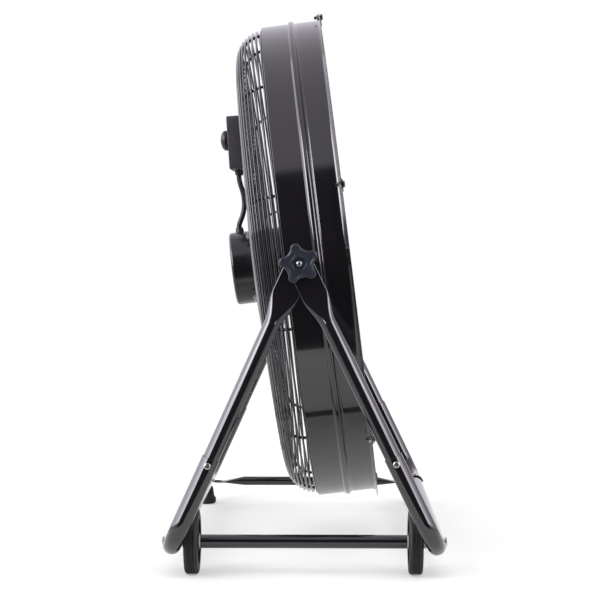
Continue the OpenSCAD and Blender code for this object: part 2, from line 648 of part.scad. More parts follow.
lead_route = concat([box_point(-box_h / 2 + gland_len / 2, gland_z), lead_top],
  curve(lead_top, lead_top - hang * [sin(guard_slope), cos(guard_slope)], lead_mid + [0, hang], lead_mid, 6),
  curve(lead_mid, lead_mid - [0, drop], lead_low + [0, drop * 0.35], lead_low, 7),
  [[motor_gland_x, motor_d / 2 + 0.5]]);
// the lead is a tube swept along its route: a ring of points at each place
lead_sides = 10;
function unit(v) = v / norm(v);
function lead_dir(i) = let (n = len(lead_route) - 1)
  unit(lead_route[min(i + 1, n)] - lead_route[max(i - 1, 0)]);
function lead_ring(i) = let (d = lead_dir(i), side = [d[1], -d[0]])
  [for (k = [0:lead_sides - 1]) let (a = 360 * k / lead_sides, s = lead_d / 2 * cos(a))
    [lead_route[i][0] + side[0] * s, lead_d / 2 * sin(a), lead_route[i][1] + side[1] * s]];
module motor_lead() color("#151516") head() {
  n = len(lead_route);
  m = lead_sides;
  points = [for (i = [0:n - 1]) each lead_ring(i)];
  walls = [for (i = [0:n - 2], k = [0:m - 1]) let (a = i * m + k, b = i * m + (k + 1) % m) [a, b, b + m, a + m]];
  ends = [[for (k = [m - 1:-1:0]) k], [for (k = [0:m - 1]) (n - 1) * m + k]];
  polyhedron(points, concat(walls, ends), convexity = 4);
}

// TILT CLAMPS

module side_at(y) rotate([90, 0, 0]) translate([0, 0, y]) children();
// curved plate inside the drum, under each bolt head
module pivot_backing_plates() color("#2a2a2c") head() both_sides() difference() {
  intersection() {
    axial(rear_x + hoop_in + hoop_wire / 2 + 0.8) ring(drum_ri - seat - backing_t, drum_ri - seat, backing_len);
    translate([-backing_w, -drum_r, -backing_w / 2]) cube([2 * backing_w, drum_r, backing_w]);
  }
  side_at(drum_ri - 20) cylinder(r = bolt_d / 2 + seat, h = 40);
}
module pivot_spacers() color("#2a2a2c") head() both_sides() difference() {
  side_at(drum_r - 2) cylinder(d = spacer_d, h = spacer_len + 2 + seat);
  side_at(drum_r - 10) cylinder(r = bolt_d / 2 + seat, h = spacer_len + 20);
  axial(-spacer_d) cylinder(r = drum_r + seat, h = 2 * spacer_d, $fn = 360);
}
bolt_head_y = drum_ri - 2 * seat - backing_t;
module pivot_bolts() color("silver") head() both_sides() {
  side_at(bolt_head_y - 1.2) cylinder(d = bolt_d, h = knob_y + star_t - knob_recess + bolt_out * 0.2 - bolt_head_y + 1.2);
  side_at(bolt_head_y - bolt_head_t) cylinder(d1 = bolt_head_d * 0.5, d2 = bolt_head_d, h = bolt_head_t - 1.2, $fn = 48);
  side_at(bolt_head_y - 1.2) difference() {
    cylinder(d = bolt_head_d, h = 1.2 - 0.25, $fn = 48);
  }
}
module friction_washers() color("#3a3a3c") head() both_sides()
  side_at(drum_r + spacer_len + 2 * seat) ring(bolt_d / 2 + seat, spacer_d / 2 + 1, washer_t);
module clamp_washers() color("silver") head() both_sides()
  side_at(star_y - disc_t - seat) ring(bolt_d / 2 + seat, disc_r, disc_t);
lobe_r = 6.5;
star_waist = star_d * 0.36;
// five lobes joined by hollows: arcs only, so that every side is a true cylinder
module star_outline() difference() {
  union() {
    circle(r = star_waist + 2.2, $fn = 64);
    for (i = [0:star_lobes - 1]) rotate(25 + i * 360 / star_lobes) {
      translate([star_d / 2 - lobe_r, 0]) circle(lobe_r, $fn = 32);
      translate([0, -lobe_r]) square([star_d / 2 - lobe_r, 2 * lobe_r]);
    }
  }
  for (i = [0:star_lobes - 1]) rotate(25 + (i + 0.5) * 360 / star_lobes)
    translate([star_waist + 13, 0]) circle(13.2, $fn = 48);
}
module star_knob() side_at(knob_y) difference() {
  intersection() {
    linear_extrude(star_t) star_outline();
    rotate_extrude() polygon([[0, 0], [star_d / 2 - 1, 0], [star_d / 2, 1.4], [star_d / 2, star_t - 4],
      [star_d / 2 - 1.6, star_t - 1.2], [star_d / 2 - 4.5, star_t], [0, star_t]]);
  }
  translate([0, 0, star_t - knob_recess]) cylinder(d = knob_recess_d, h = knob_recess + cut, $fn = 48);
  translate([0, 0, -cut]) cylinder(r = bolt_d / 2 + run_gap + insert_wall + seat, h = star_t, $fn = 48);
}
module insert() side_at(star_y) ring(bolt_hole_r, bolt_d / 2 + run_gap + insert_wall, knob_lift + star_t - knob_recess);
module tilt_knob_near() color("#34363e") head() star_knob();
module tilt_knob_far() color("#34363e") head() mirror([0, 1, 0]) star_knob();
module tilt_insert_near() color("#b8902e") head() insert();
module tilt_insert_far() color("#b8902e") head() mirror([0, 1, 0]) insert();

// LEGS

// a leg hangs down its own -Z from the tilt axis, and its tube lies in the plane y = 0
module leg_place(angle, y) translate([0, y, pivot_z]) rotate([0, -angle, 0]) children();
module leg() difference() {
  union() {
    translate([0, flat_t / 2, 0]) rotate([90, 0, 0]) linear_extrude(flat_t) {
      circle(d = flat_w, $fn = 64);
      translate([-flat_w / 2, -flat_len]) square([flat_w, flat_len]);
    }
    hull() {
      translate([-flat_w / 2, -flat_t / 2, -flat_len - 0.01]) cube([flat_w, flat_t, 0.01]);
      translate([0, 0, -flat_len - swage_len]) cylinder(d = leg_d, h = 0.01, $fn = 32);
    }
    translate([0, 0, -collar_at - leg_overlap])
      ring(leg_d / 2 - leg_wall, leg_d / 2, collar_at + leg_overlap - flat_len - swage_len);
  }
  rotate([90, 0, 0]) translate([0, 0, -flat_t]) cylinder(r = bolt_hole_r, h = 2 * flat_t);
  translate([0, 0, -collar_at - screw_below]) rotate([90, 0, 0]) translate([0, 0, -leg_d])
    cylinder(d = leg_screw_d + 0.3, h = 2 * leg_d, $fn = 24);
}
module leg_rear_near() color("#1b1b1d") leg_place(-rear_angle, -rear_leg_y) leg();
module leg_front_near() color("#1b1b1d") leg_place(front_angle, -front_leg_y) leg();
module leg_rear_far() color("#1b1b1d") leg_place(-rear_angle, rear_leg_y) leg();
module leg_front_far() color("#1b1b1d") leg_place(front_angle, front_leg_y) leg();

// BASE TUBES

base_r = base_d / 2;
base_ri = base_r - base_wall;
module base_ring() difference() {
  circle(base_r, $fn = 96);
  circle(base_ri, $fn = 96);
}
// bent tube drawn flat: legs up +Z, run along Y, its middle line meeting at the origin
module base_tube(half, angle) {
  leg_len = (pivot_z - run_z) / cos(angle) - collar_at;
  difference() {
    union() {
      translate([0, -half + bend_r, 0]) rotate([-90, 0, 0]) linear_extrude(2 * (half - bend_r)) base_ring();
      for (s = [0, 1]) mirror([0, s, 0]) {
        translate([0, -half, bend_r]) linear_extrude(leg_len - bend_r) base_ring();
        translate([0, -half + bend_r, bend_r]) rotate([0, 90, 0]) rotate([0, 0, -90])
          rotate_extrude(angle = 90) translate([bend_r, 0]) base_ring();
      }
    }
    for (s = [-1, 1]) translate([0, s * half, leg_len - screw_below]) rotate([s * -90, 0, 0])
      cylinder(d = leg_screw_d + 0.3, h = base_d, $fn = 24);
  }
}
module base_place(x, angle) translate([x, 0, run_z]) rotate([0, -angle, 0]) children();
module axle_bore(r) translate([-400, -axle_y, wheel_r]) rotate([0, 90, 0]) cylinder(r = r, h = 800, $fn = 48);
module foot_bores() for (x = [rear_run_x, front_run_x]) translate([x, foot_y, 0]) cylinder(d = foot_pin_d + 0.2, h = run_z, $fn = 24);
module brace_bores() for (x = [rear_run_x, front_run_x]) translate([x, brace_y, run_z]) cylinder(d = 4.3, h = base_d, $fn = 24);
module base_tube_rear() color("#1b1b1d") difference() {
  base_place(rear_run_x, -rear_angle) base_tube(rear_leg_y, rear_angle);
  axle_bore(axle_d / 2 + 0.2);
  foot_bores();
  brace_bores();
}
module base_tube_front() color("#1b1b1d") difference() {
  base_place(front_run_x, front_angle) base_tube(front_leg_y, front_angle);
  axle_bore(axle_d / 2 + 0.2);
  foot_bores();
  brace_bores();
}
// pan head screws through both tubes at each collar
module leg_screw(angle, y) leg_place(angle, y) translate([0, 0, -collar_at - screw_below]) rotate([90, 0, 0]) {
  translate([0, 0, -leg_d / 2 + 2]) cylinder(d = leg_screw_d, h = base_r + leg_d / 2 - 2 + 0.9, $fn = 24);
  translate([0, 0, base_r + 0.5]) cylinder(d = leg_head_d, h = leg_head_t * 0.5, $fn = 32);
  translate([0, 0, base_r + 0.5 + leg_head_t * 0.5])
    cylinder(d1 = leg_head_d, d2 = leg_head_d * 0.66, h = leg_head_t * 0.5, $fn = 32);
}
module leg_screws() color("silver") both_sides() {
  leg_screw(-rear_angle, -rear_leg_y);
  leg_screw(front_angle, -front_leg_y);
}

// BRACE, with flattened ends that lap over the base tubes

tab_r = base_r + seat;
tab_out = tab_r + brace_tab_t;
strap_z = brace_z - run_z;
rise_r = 7;
rise_x = sqrt(pow(tab_out + rise_r, 2) - pow(strap_z + rise_r, 2));
rise_a = atan2(strap_z + rise_r, rise_x);
function arc_points(x, z, r, a0, a1, n) = [for (i = [0:n]) let (a = a0 + (a1 - a0) * i / n)
  [x + r * cos(a), z + r * sin(a)]];
// strap at the rear tube: over the top, down a curved rise and along to the taper
module brace_strap() {
  flat_end = base_r + brace_flat;
  rise_z = strap_z + rise_r;
  upper = concat(arc_points(0, 0, tab_out, 165, rise_a, 20), arc_points(rise_x, rise_z, rise_r, 180 + rise_a, 270, 8),
    [[flat_end, strap_z]]);
  lower = concat(arc_points(0, 0, tab_r, 165, rise_a, 20),
    arc_points(rise_x, rise_z, rise_r + brace_tab_t, 180 + rise_a, 270, 8), [[flat_end, strap_z - brace_tab_t]]);
  rotate([90, 0, 0]) translate([0, 0, -brace_tab_w / 2]) linear_extrude(brace_tab_w)
    polygon(concat(upper, reversed(lower)));
  hull() {
    translate([flat_end - 0.5, -brace_tab_w / 2 + 0.05, strap_z - brace_tab_t + 0.05])
      cube([0.01, brace_tab_w - 0.1, brace_tab_t - 0.1]);
    translate([flat_end + brace_taper + 0.5, 0, strap_z]) rotate([0, 90, 0])
      cylinder(d = brace_d - 0.2, h = 0.01, center = true, $fn = 32);
  }
}
module base_brace() color("#1b1b1d") difference() {
  union() {
    translate([rear_run_x + base_r + brace_flat + brace_taper, brace_y, brace_z]) rotate([0, 90, 0])
      cylinder(d = brace_d, h = front_run_x - rear_run_x - 2 * (base_r + brace_flat + brace_taper), $fn = 48);
    translate([rear_run_x, brace_y, run_z]) brace_strap();
    translate([front_run_x, brace_y, run_z]) mirror([1, 0, 0]) brace_strap();
  }
  brace_bores();
}
module brace_screws() color("silver") for (x = [rear_run_x, front_run_x]) translate([x, brace_y, run_z]) {
  top = tab_r + brace_tab_t + seat;
  translate([0, 0, top - 9]) cylinder(d = 4, h = 9.5, $fn = 24);
  translate([0, 0, top]) cylinder(d1 = 8, d2 = 5, h = 2.2, $fn = 32);
}

// FEET

foot_pin_d = 6;
foot_top = run_z - base_r - 1.6;
module foot(x) color("#161617") translate([x, foot_y, 0]) difference() {
  union() {
    rotate_extrude() polygon([[0, 0], [foot_d / 2 - 3.5, 0], [foot_d / 2 - 1.2, 1], [foot_d / 2, 3],
      [foot_d / 2, foot_rim], [foot_d / 2 - 2.6, foot_rim + 3], [foot_top_d / 2, foot_top],
      [foot_top_d / 2 - 1.5, foot_top + 1.5], [foot_top_d / 2 - 1.5, run_z - base_r * 0.6],
      [0, run_z - base_r * 0.6]]);
    cylinder(d = foot_pin_d, h = run_z - base_ri + 3, $fn = 24);
  }
  difference() {
    translate([0, -foot_d, run_z]) rotate([-90, 0, 0]) cylinder(r = base_r + seat, h = 2 * foot_d);
    translate([0, 0, -1]) cylinder(d = foot_pin_d, h = run_z + 2, $fn = 24);
  }
}
module foot_rear() foot(rear_run_x);
module foot_front() foot(front_run_x);

// WHEELS

module on_axle(x) translate([x, -axle_y, wheel_r]) rotate([0, 90, 0]) children();
axle_x0 = rear_run_x - base_r - axle_end;
axle_x1 = front_run_x + base_r + axle_end;
module axle_rod() color("silver") {
  on_axle(axle_x0) cylinder(d = axle_d, h = axle_x1 - axle_x0, $fn = 48);
  for (s = [0, 1]) on_axle(s == 0 ? axle_x0 : axle_x1) mirror([0, 0, s]) {
    translate([0, 0, 0.8]) cylinder(d = cap_d, h = axle_end - 1, $fn = 48);
    cylinder(d1 = cap_d - 3, d2 = cap_d, h = 0.8, $fn = 48);
  }
}
tube_x0 = wheel_rear_x + wheel_w / 2 + side_gap + washer_w;
tube_x1 = wheel_front_x - wheel_w / 2 - side_gap - washer_w;
module axle_tube() color("#1b1b1d") on_axle(tube_x0 + seat)
  ring(axle_d / 2 + seat, axle_tube_d / 2, tube_x1 - tube_x0 - 2 * seat);
module axle_washers() color("#e4e2dc") {
  for (x = [tube_x0 - washer_w, tube_x1]) on_axle(x) ring(axle_d / 2 + seat, 8, washer_w);
  on_axle(rear_run_x + base_r + seat) ring(axle_d / 2 + seat, 8, wheel_gap_rear - side_gap - seat);
  on_axle(wheel_front_x + wheel_w / 2 + side_gap) ring(axle_d / 2 + seat, 8, wheel_gap_front - side_gap - seat);
}
// wheel body with a web, a hub and six ribs
module wheel_body() rotate([0, 90, 0]) difference() {
  union() {
    translate([0, 0, -wheel_w / 2]) ring(rim_d / 2 - 4, rim_d / 2, wheel_w);
    translate([0, 0, -2]) cylinder(r = rim_d / 2 - 3, h = 4);
    translate([0, 0, -wheel_w / 2]) cylinder(r = 11, h = wheel_w);
    for (i = [0:5]) rotate([0, 0, i * 60 + 15]) translate([10, -1.2, -wheel_w / 2 + 2]) cube([rim_d / 2 - 10 - 3, 2.4, wheel_w - 4]);
  }
  translate([0, 0, -wheel_w]) cylinder(r = axle_d / 2 + run_gap, h = 2 * wheel_w);
}
groove = 1.3;
grooves = 5;
tread_w = wheel_w - 2 * tyre_round + 1;
function shoulder(side) = [for (i = [0:3]) let (a = side > 0 ? 90 - 30 * i : 30 * i)
  [wheel_r - tyre_round + tyre_round * sin(a), side * (wheel_w / 2 - tyre_round + tyre_round * cos(a))]];
function tread() = [for (i = [1:grooves - 1]) let (y = -tread_w / 2 + i * tread_w / grooves)
  each [[wheel_r, y - 0.5], [wheel_r - groove, y - 0.3], [wheel_r - groove, y + 0.3], [wheel_r, y + 0.5]]];
module tyre() rotate([0, 90, 0]) rotate_extrude($fn = 120) polygon(concat(
  [[rim_d / 2 + seat, -wheel_w / 2]], shoulder(-1), tread(), shoulder(1), [[rim_d / 2 + seat, wheel_w / 2]]));
module wheel_rear() color("#2b2b2d") translate([wheel_rear_x, -axle_y, wheel_r]) wheel_body();
module wheel_front() color("#2b2b2d") translate([wheel_front_x, -axle_y, wheel_r]) wheel_body();
module tyre_rear() color("#141415") translate([wheel_rear_x, -axle_y, wheel_r]) tyre();
module tyre_front() color("#141415") translate([wheel_front_x, -axle_y, wheel_r]) tyre();

drum_shell();
front_guard_rings();
front_guard_ribs();
front_guard_plate();
front_guard_lugs();
lip_screws_set();
lip_nuts();
rear_guard_face_rings();
rear_guard_corner_rings();
rear_guard_ribs();
rear_guard_plate();
motor_rear_shell();
motor_front_shell();
motor_stator();
stator_windings();
motor_bearings();
motor_bolts();
motor_nuts();
rotor_shaft();
rotor_core();
fan_hub();
fan_blades();
blade_rivets();
hub_nut();
control_box_body();
control_box_cover();
speed_switch();
run_capacitor();
box_clamp_bars();
box_screws();
speed_knob();
motor_lead();
cable_glands();
pivot_backing_plates();
pivot_bolts();
pivot_spacers();
friction_washers();
clamp_washers();
tilt_knob_near();
tilt_insert_near();
tilt_knob_far();
tilt_insert_far();
leg_rear_near();
leg_front_near();
leg_rear_far();
leg_front_far();
base_tube_rear();
base_tube_front();
leg_screws();
base_brace();
brace_screws();
foot_rear();
foot_front();
axle_rod();
axle_tube();
axle_washers();
wheel_rear();
tyre_rear();
wheel_front();
tyre_front();
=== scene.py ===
"""Drum fan: the looks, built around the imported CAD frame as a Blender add-on that runs as a script."""
import math

import bmesh
import bpy
import numpy as np
from bpy.props import FloatProperty, FloatVectorProperty, IntProperty, PointerProperty
from bpy.types import Operator, Panel, PropertyGroup
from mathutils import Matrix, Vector


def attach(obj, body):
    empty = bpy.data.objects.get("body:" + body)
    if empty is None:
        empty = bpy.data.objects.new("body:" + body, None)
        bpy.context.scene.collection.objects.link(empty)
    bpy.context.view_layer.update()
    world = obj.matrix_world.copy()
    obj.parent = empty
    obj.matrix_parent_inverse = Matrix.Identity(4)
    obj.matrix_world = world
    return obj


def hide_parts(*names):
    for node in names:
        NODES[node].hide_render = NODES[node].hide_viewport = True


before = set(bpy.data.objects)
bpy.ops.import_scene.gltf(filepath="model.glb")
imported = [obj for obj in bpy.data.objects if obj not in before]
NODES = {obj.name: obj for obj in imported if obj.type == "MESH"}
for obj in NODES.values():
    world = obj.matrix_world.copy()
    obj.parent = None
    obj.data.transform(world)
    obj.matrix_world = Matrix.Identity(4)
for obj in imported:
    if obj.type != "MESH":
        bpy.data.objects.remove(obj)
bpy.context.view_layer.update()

bl_info = {
    "name": "Drum fan",
    "version": (1, 0, 0),
    "blender": (4, 5, 0),
    "location": "3D View > Sidebar > Drum fan",
    "description": "Builds a drum fan on a wheeled stand around its packed frame",
    "category": "Object",
}

MM = 0.001
TAU = 2 * math.pi

# The CAD model's own numbers, in millimetres. RIB_PHASE is in degrees, every other angle in radians. LIP_BEND and
# COLLAR_HEAD are read from the photograph instead.
HEAD_TILT = math.radians(7.0)
PIVOT_Z = 383.0
DRUM_R, DRUM_WALL = 325.0, 1.2
REAR_X, FRONT_X, BEAD_X = -18.0, 62.0, 22.0
LIP_BEND, LIP_H = 6.0, 10.0
RIB_COUNT, RIB_PHASE = 12, 14.5
RING_WIRE, RIB_WIRE, HOOP_WIRE, RING_PITCH = 2.8, 4.0, 4.4, 9.4
GUARD_DEPTH, GUARD_CORNER, CORNER_RINGS = 52.0, 41.0, 10
FIRST_RING_R, GUARD_FACE_IN, FRONT_RIB_IN, FRONT_BAND_IN = 92.0, 57.0, 61.0, 55.0
SEAT = 0.05
GUARD_SLOPE = math.radians(3.2)
SLOPE_SIN, SLOPE_COS, SLOPE_TAN = math.sin(GUARD_SLOPE), math.cos(GUARD_SLOPE), math.tan(GUARD_SLOPE)
RIM_GAP = 3.0
CORNER_R = DRUM_R - RIM_GAP - GUARD_CORNER
RING_ARC = GUARD_CORNER - RING_WIRE / 2
RIB_ARC = RING_ARC - RING_WIRE / 2 - RIB_WIRE / 2 - SEAT
HOOP_R = DRUM_R - DRUM_WALL - HOOP_WIRE / 2 - 4 * SEAT
RIB_R = HOOP_R - HOOP_WIRE / 2 - RIB_WIRE / 2 - SEAT
CORNER_RI = RIB_R - RIB_ARC
CORNER_X = REAR_X - (GUARD_DEPTH - (CORNER_R - GUARD_FACE_IN) * SLOPE_TAN - GUARD_CORNER / SLOPE_COS)
SKIN_X0 = CORNER_X - GUARD_CORNER * SLOPE_COS
SKIN_R0 = CORNER_R + GUARD_CORNER * SLOPE_SIN
LINE_X0 = CORNER_X - RIB_ARC * SLOPE_COS
LINE_R0 = CORNER_RI + RIB_ARC * SLOPE_SIN
REAR_ANGLE, FRONT_ANGLE = math.radians(24.4), math.radians(25.8)
RUN_Z, BEND_R, COLLAR_AT, LEG_OVERLAP = 38.2, 37.0, 257.0, 40.0
LEG_R, BASE_R, BASE_RI = 10.0, 11.25, 10.1
FLAT_W, FLAT_T, FLAT_LEN, SWAGE_LEN = 32.0, 2.6, 42.0, 37.0
SPACER_LEN, FRICTION_T, WASHER_T, KNOB_LIFT = 25.6, 1.2, 2.2, 1.8
PLATE_IN_Y = DRUM_R + SEAT + SPACER_LEN + FRICTION_T + 2 * SEAT
REAR_LEG_Y = PLATE_IN_Y + FLAT_T / 2
FRONT_LEG_Y = PLATE_IN_Y + FLAT_T * 1.5 + SEAT
STAR_Y = PLATE_IN_Y + 2 * FLAT_T + SEAT + WASHER_T + 2 * SEAT + KNOB_LIFT
STAR_T, STAR_RECESS, STAR_LOBES, STAR_TURN = 15.0, 4.0, 5, math.radians(25)
LOBE_R, LOBE_AT, HOLLOW_R, HOLLOW_AT, NECK_R, WEB_R = 6.5, 18.0, 13.2, 30.6, 17.5, 19.8
STAR_RECESS_R, INSERT_R, BOLT_HOLE_R = 7.5, 6.6, 4.3
BOLT_R, BOLT_HEAD_R, BACKING_T, BOLT_PROUD = 4.0, 9.9, 3.0, 1.8
REAR_RUN_X = -(PIVOT_Z - RUN_Z) * math.tan(REAR_ANGLE)
FRONT_RUN_X = (PIVOT_Z - RUN_Z) * math.tan(FRONT_ANGLE)
ENDS = (("rear", REAR_RUN_X, REAR_ANGLE, REAR_LEG_Y), ("front", FRONT_RUN_X, -FRONT_ANGLE, FRONT_LEG_Y))
AXLE_Y, WHEEL_R, WHEEL_W, RIM_R, TYRE_ROUND = 300.0, 40.0, 17.0, 32.0, 3.5
WHEEL_GAP_REAR, WHEEL_GAP_FRONT = 3.6, 5.3
WHEEL_REAR_X = REAR_RUN_X + BASE_R + WHEEL_GAP_REAR + WHEEL_W / 2
WHEEL_FRONT_X = FRONT_RUN_X - BASE_R - WHEEL_GAP_FRONT - WHEEL_W / 2
COLLAR_HEAD, COLLAR_ROD, BRACE_HEAD, BRACE_ROD = (3.9, 2.7), (2.5, 13.0), (4.0, 2.2), (2.0, 9.0)
COLLAR_SCREW_AT, BRACE_LAP_T = COLLAR_AT + 9, 2.0
BRACE_Y, FOOT_Y = 255.0, 298.0
BOX_PITCHES = 8.5
BOX_R = FIRST_RING_R + BOX_PITCHES * RING_PITCH
BOX_W, BOX_H, BOX_DEEP, BOX_COVER, BOX_CORNER, KNOB_UP = 78.0, 73.0, 20.0, 3.0, 6.0, 5.0
KNOB_R, KNOB_SKIRT, KNOB_DOME, KNOB_FLUTES, FLUTE_DEEP = 13.9, 3.4, 7.2, 30, 0.35
GLAND_LEN, GLAND_Z, MOTOR_R, LEAD_R, LEAD_GAP = 7.0, 9.5, 50.0, 3.5, 1.0
PLATE_MARGIN, BACK_BEHIND, SPLIT_AHEAD, GLAND_AHEAD = 22.0, 32.5, 9.0, 15.0
PLATE_X = LINE_X0 - (LINE_R0 - MOTOR_R - PLATE_MARGIN) * SLOPE_TAN - RIB_WIRE / 2 / SLOPE_COS - SEAT
MOTOR_BACK, SHELL_SPLIT, MOTOR_WALL = PLATE_X - BACK_BEHIND, PLATE_X + SPLIT_AHEAD, 2.0
MOTOR_GLAND_X = MOTOR_BACK + GLAND_AHEAD

# Stage, in metres: the soft lights, and the camera that the photograph was matched with, with its shift in pixels
LAMP_X, LAMP_Y, LAMP_Z, LAMP_TARGET, LAMP_TALL = 2.2, -1.6, 1.9, (0, 0, 0.35), 2.0
CAMERA_PLACE, FOCAL_PX, SHIFT_PX, SENSOR_MM, LENS_MM = (0.0385, -2.5035, 0.4083), 1798.3, (31.7, 57.8), 36, 107.9


# Sizes and colours that a user would change

def srgb(code):
    """Turns an sRGB hex code to linear red, green, blue and alpha."""
    values = [int(code[i:i + 2], 16) / 255 for i in (0, 2, 4)]
    return (*[v / 12.92 if v <= 0.04045 else ((v + 0.055) / 1.055) ** 2.4 for v in values], 1.0)


def length(label, words, default):
    return FloatProperty(name=label, description=words, default=default, min=0.0, unit="LENGTH")


def colour(label, words, code):
    return FloatVectorProperty(name=label, description=words, default=srgb(code), size=4, min=0.0, max=1.0,
                               subtype="COLOR")


class DrumFanSizes(PropertyGroup):
    """Sizes of the details that the scene adds to the frame."""
    bead_height: length("Bead height", "How far the drum's bead stands proud", 0.0032)
    bead_width: length("Bead width", "Width of the drum's bead at its foot", 0.0086)
    groove_depth: length("Groove depth", "Depth of the rolled groove in front of the bead", 0.0006)
    tread_depth: length("Tread depth", "Depth of the grooves round the tyres", 0.0013)
    tread_ribs: IntProperty(name="Tread ribs", description="Ribs round each tyre", default=5, min=1, max=9)
    knob_edge: length("Star knob edge", "Rounding along the star knob's edges", 0.0026)
    recess_depth: length("Screw recess", "Depth of the cross recess in the pan head screws", 0.0012)


class DrumFanColours(PropertyGroup):
    """Colours of the finishes."""
    paint: colour("Paint", "Gloss black powder coat", "19171a")
    wire: colour("Wire", "Black coat of the guard wires", "1b1a1d")
    plastic: colour("Plastic", "Moulded black plastic", "1b191c")
    box: colour("Control box", "Grained dark grey plastic of the control box", "3b383d")
    knob: colour("Star knob", "Blue grey plastic of the star knobs", "262a33")
    rubber: colour("Rubber", "Moulded black rubber", "1b191b")
    zinc: colour("Zinc", "Bright zinc plate", "c9c9c4")


def sizes():
    return bpy.context.scene.drum_fan_sizes


def colours():
    return bpy.context.scene.drum_fan_colours


# Shapes: whole arrays of points on a grid of two parameters

def full_turn(count):
    """Angles of that many even steps round a circle."""
    return np.linspace(0, TAU, count, endpoint=False)


def new_object(name, data):
    """An object at the origin, linked to the scene."""
    thing = bpy.data.objects.new(name, data)
    bpy.context.scene.collection.objects.link(thing)
    return thing


def head_place(points):
    """Head's own millimetres (x forward, z up at rest) to world metres: turned up by the tilt, lifted to the pivot."""
    p = np.asarray(points, float)
    c, s = math.cos(HEAD_TILT), math.sin(HEAD_TILT)
    return np.stack([p[..., 0] * c - p[..., 2] * s, p[..., 1], p[..., 0] * s + p[..., 2] * c + PIVOT_Z], -1) * MM


def stand_place(points):
    """The stand's millimetres to world metres."""
    return np.asarray(points, float) * MM


def surface(points, close_rows=False):
    """The points of a grid whose rows are closed rings, and the four-cornered faces between neighbouring points."""
    rows, columns = points.shape[:2]
    index = np.arange(rows * columns).reshape(rows, columns)
    if close_rows:
        index = np.concatenate([index, index[:1]])
    index = np.concatenate([index, index[:, :1]], axis=1)
    faces = np.stack([index[:-1, :-1], index[1:, :-1], index[1:, 1:], index[:-1, 1:]], -1)
    return points.reshape(-1, 3), faces.reshape(-1, 4)


def head_ring(points):
    """The surface of a closed ring, in the head's own millimetres."""
    return surface(head_place(points), close_rows=True)


def make_piece(name, surfaces, key, body, replaced, sharp=35.0):
    """Joins surfaces into one mesh, welds seams and poles, points the faces outwards, shades it smooth and gives it the
    finish of that key."""
    points, faces, start = [], [], 0
    for part_points, part_faces in surfaces:
        points.append(part_points)
        faces.append(part_faces + start)
        start += len(part_points)
    mesh = bpy.data.meshes.new(name)
    mesh.from_pydata(np.concatenate(points).tolist(), [], np.concatenate(faces).tolist(), shade_flat=False)
    shape = bmesh.new()
    shape.from_mesh(mesh)
    bmesh.ops.remove_doubles(shape, verts=shape.verts, dist=2e-6)
    bmesh.ops.recalc_face_normals(shape, faces=shape.faces)
    shape.to_mesh(mesh)
    shape.free()
    mesh.polygons.foreach_set("use_smooth", np.ones(len(mesh.polygons), bool))
    mesh.set_sharp_from_angle(angle=math.radians(sharp))
    mesh.materials.append(finish(key))
    piece, slot = new_object(name, mesh), SLOTS[key]
    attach(piece, body)
    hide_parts(*replaced)


def turned(profile, segments):
    """Revolves a profile of (along, radius) about the X axis: (x, r sin t, r cos t)."""
    profile = np.asarray(profile, float)
    t = full_turn(segments)
    x = np.repeat(profile[:, :1], segments, 1)
    return np.stack([x, profile[:, 1:] * np.sin(t), profile[:, 1:] * np.cos(t)], -1)


def ring_wires(centres, wire, sides=10):
    """Rings of round wire: each is a circle of radius wire/2 carried round the axis at (x, r)."""
    a = full_turn(sides)
    grids = []
    for x, r in centres:
        profile = np.stack([x + wire / 2 * np.cos(a), r + wire / 2 * np.sin(a)], -1)
        grids.append(head_ring(turned(profile, 180)))
    return grids


def directions(path):
    """Unit direction of a path at each of its points."""
    along = np.gradient(path, axis=0)
    return along / np.linalg.norm(along, axis=1)[:, None]


def carry_circle(path, along, radius, side, sides):
    """Circles carried along a flat path: centre + r (n cos a + side sin a), with n square to the path and its plane."""
    normal = np.cross(side, along)
    a = full_turn(sides)[None, :, None]
    return path[:, None] + radius[:, None, None] * (normal[:, None] * np.cos(a) + side[None, None] * np.sin(a))


def tube(path, radius, side, sides, bevel=0.3):
    """A round rod along a flat path, with a bevel at each closed end."""
    along = directions(path)
    path = np.concatenate([path[:1], path[:1], path[:1] + along[:1] * bevel, path[1:-1],
                           path[-1:] - along[-1:] * bevel, path[-1:], path[-1:]])
    radii = np.concatenate([[0, radius - bevel], np.full(len(along), radius), [radius - bevel, 0]])
    along = np.concatenate([along[:1], along[:1], along, along[-1:], along[-1:]])
    return carry_circle(path, along, radii, np.asarray(side, float), sides)


def smooth_step(t):
    t = np.clip(t, 0, 1)
    return t * t * (3 - 2 * t)


def round_corner_line(points, radius, steps=5):
    """Rounds each inner corner of an open line with a quadratic curve that starts and ends radius away from it."""
    points = np.asarray(points, float)
    out = [points[:1]]
    t = np.linspace(0, 1, steps)[:, None]
    for before, corner, after in zip(points[:-2], points[1:-1], points[2:]):
        a, b = before - corner, after - corner
        la, lb = np.linalg.norm(a), np.linalg.norm(b)
        k = min(radius, la * 0.49, lb * 0.49)
        start, end = corner + a / la * k, corner + b / lb * k
        out.append((1 - t) ** 2 * start + 2 * t * (1 - t) * corner + t ** 2 * end)
    out.append(points[-1:])
    return np.concatenate(out)


# Materials

def add_node(tree, kind, inputs=None, **settings):
    """Adds the shader node of that kind, sets its settings, and fills or links its inputs."""
    node = tree.nodes.new("ShaderNode" + kind)
    for key, value in settings.items():
        setattr(node, key, value)
    for key, value in (inputs or {}).items():
        if isinstance(value, bpy.types.NodeSocket):
            tree.links.new(value, node.inputs[key])
        else:
            node.inputs[key].default_value = value
    return node


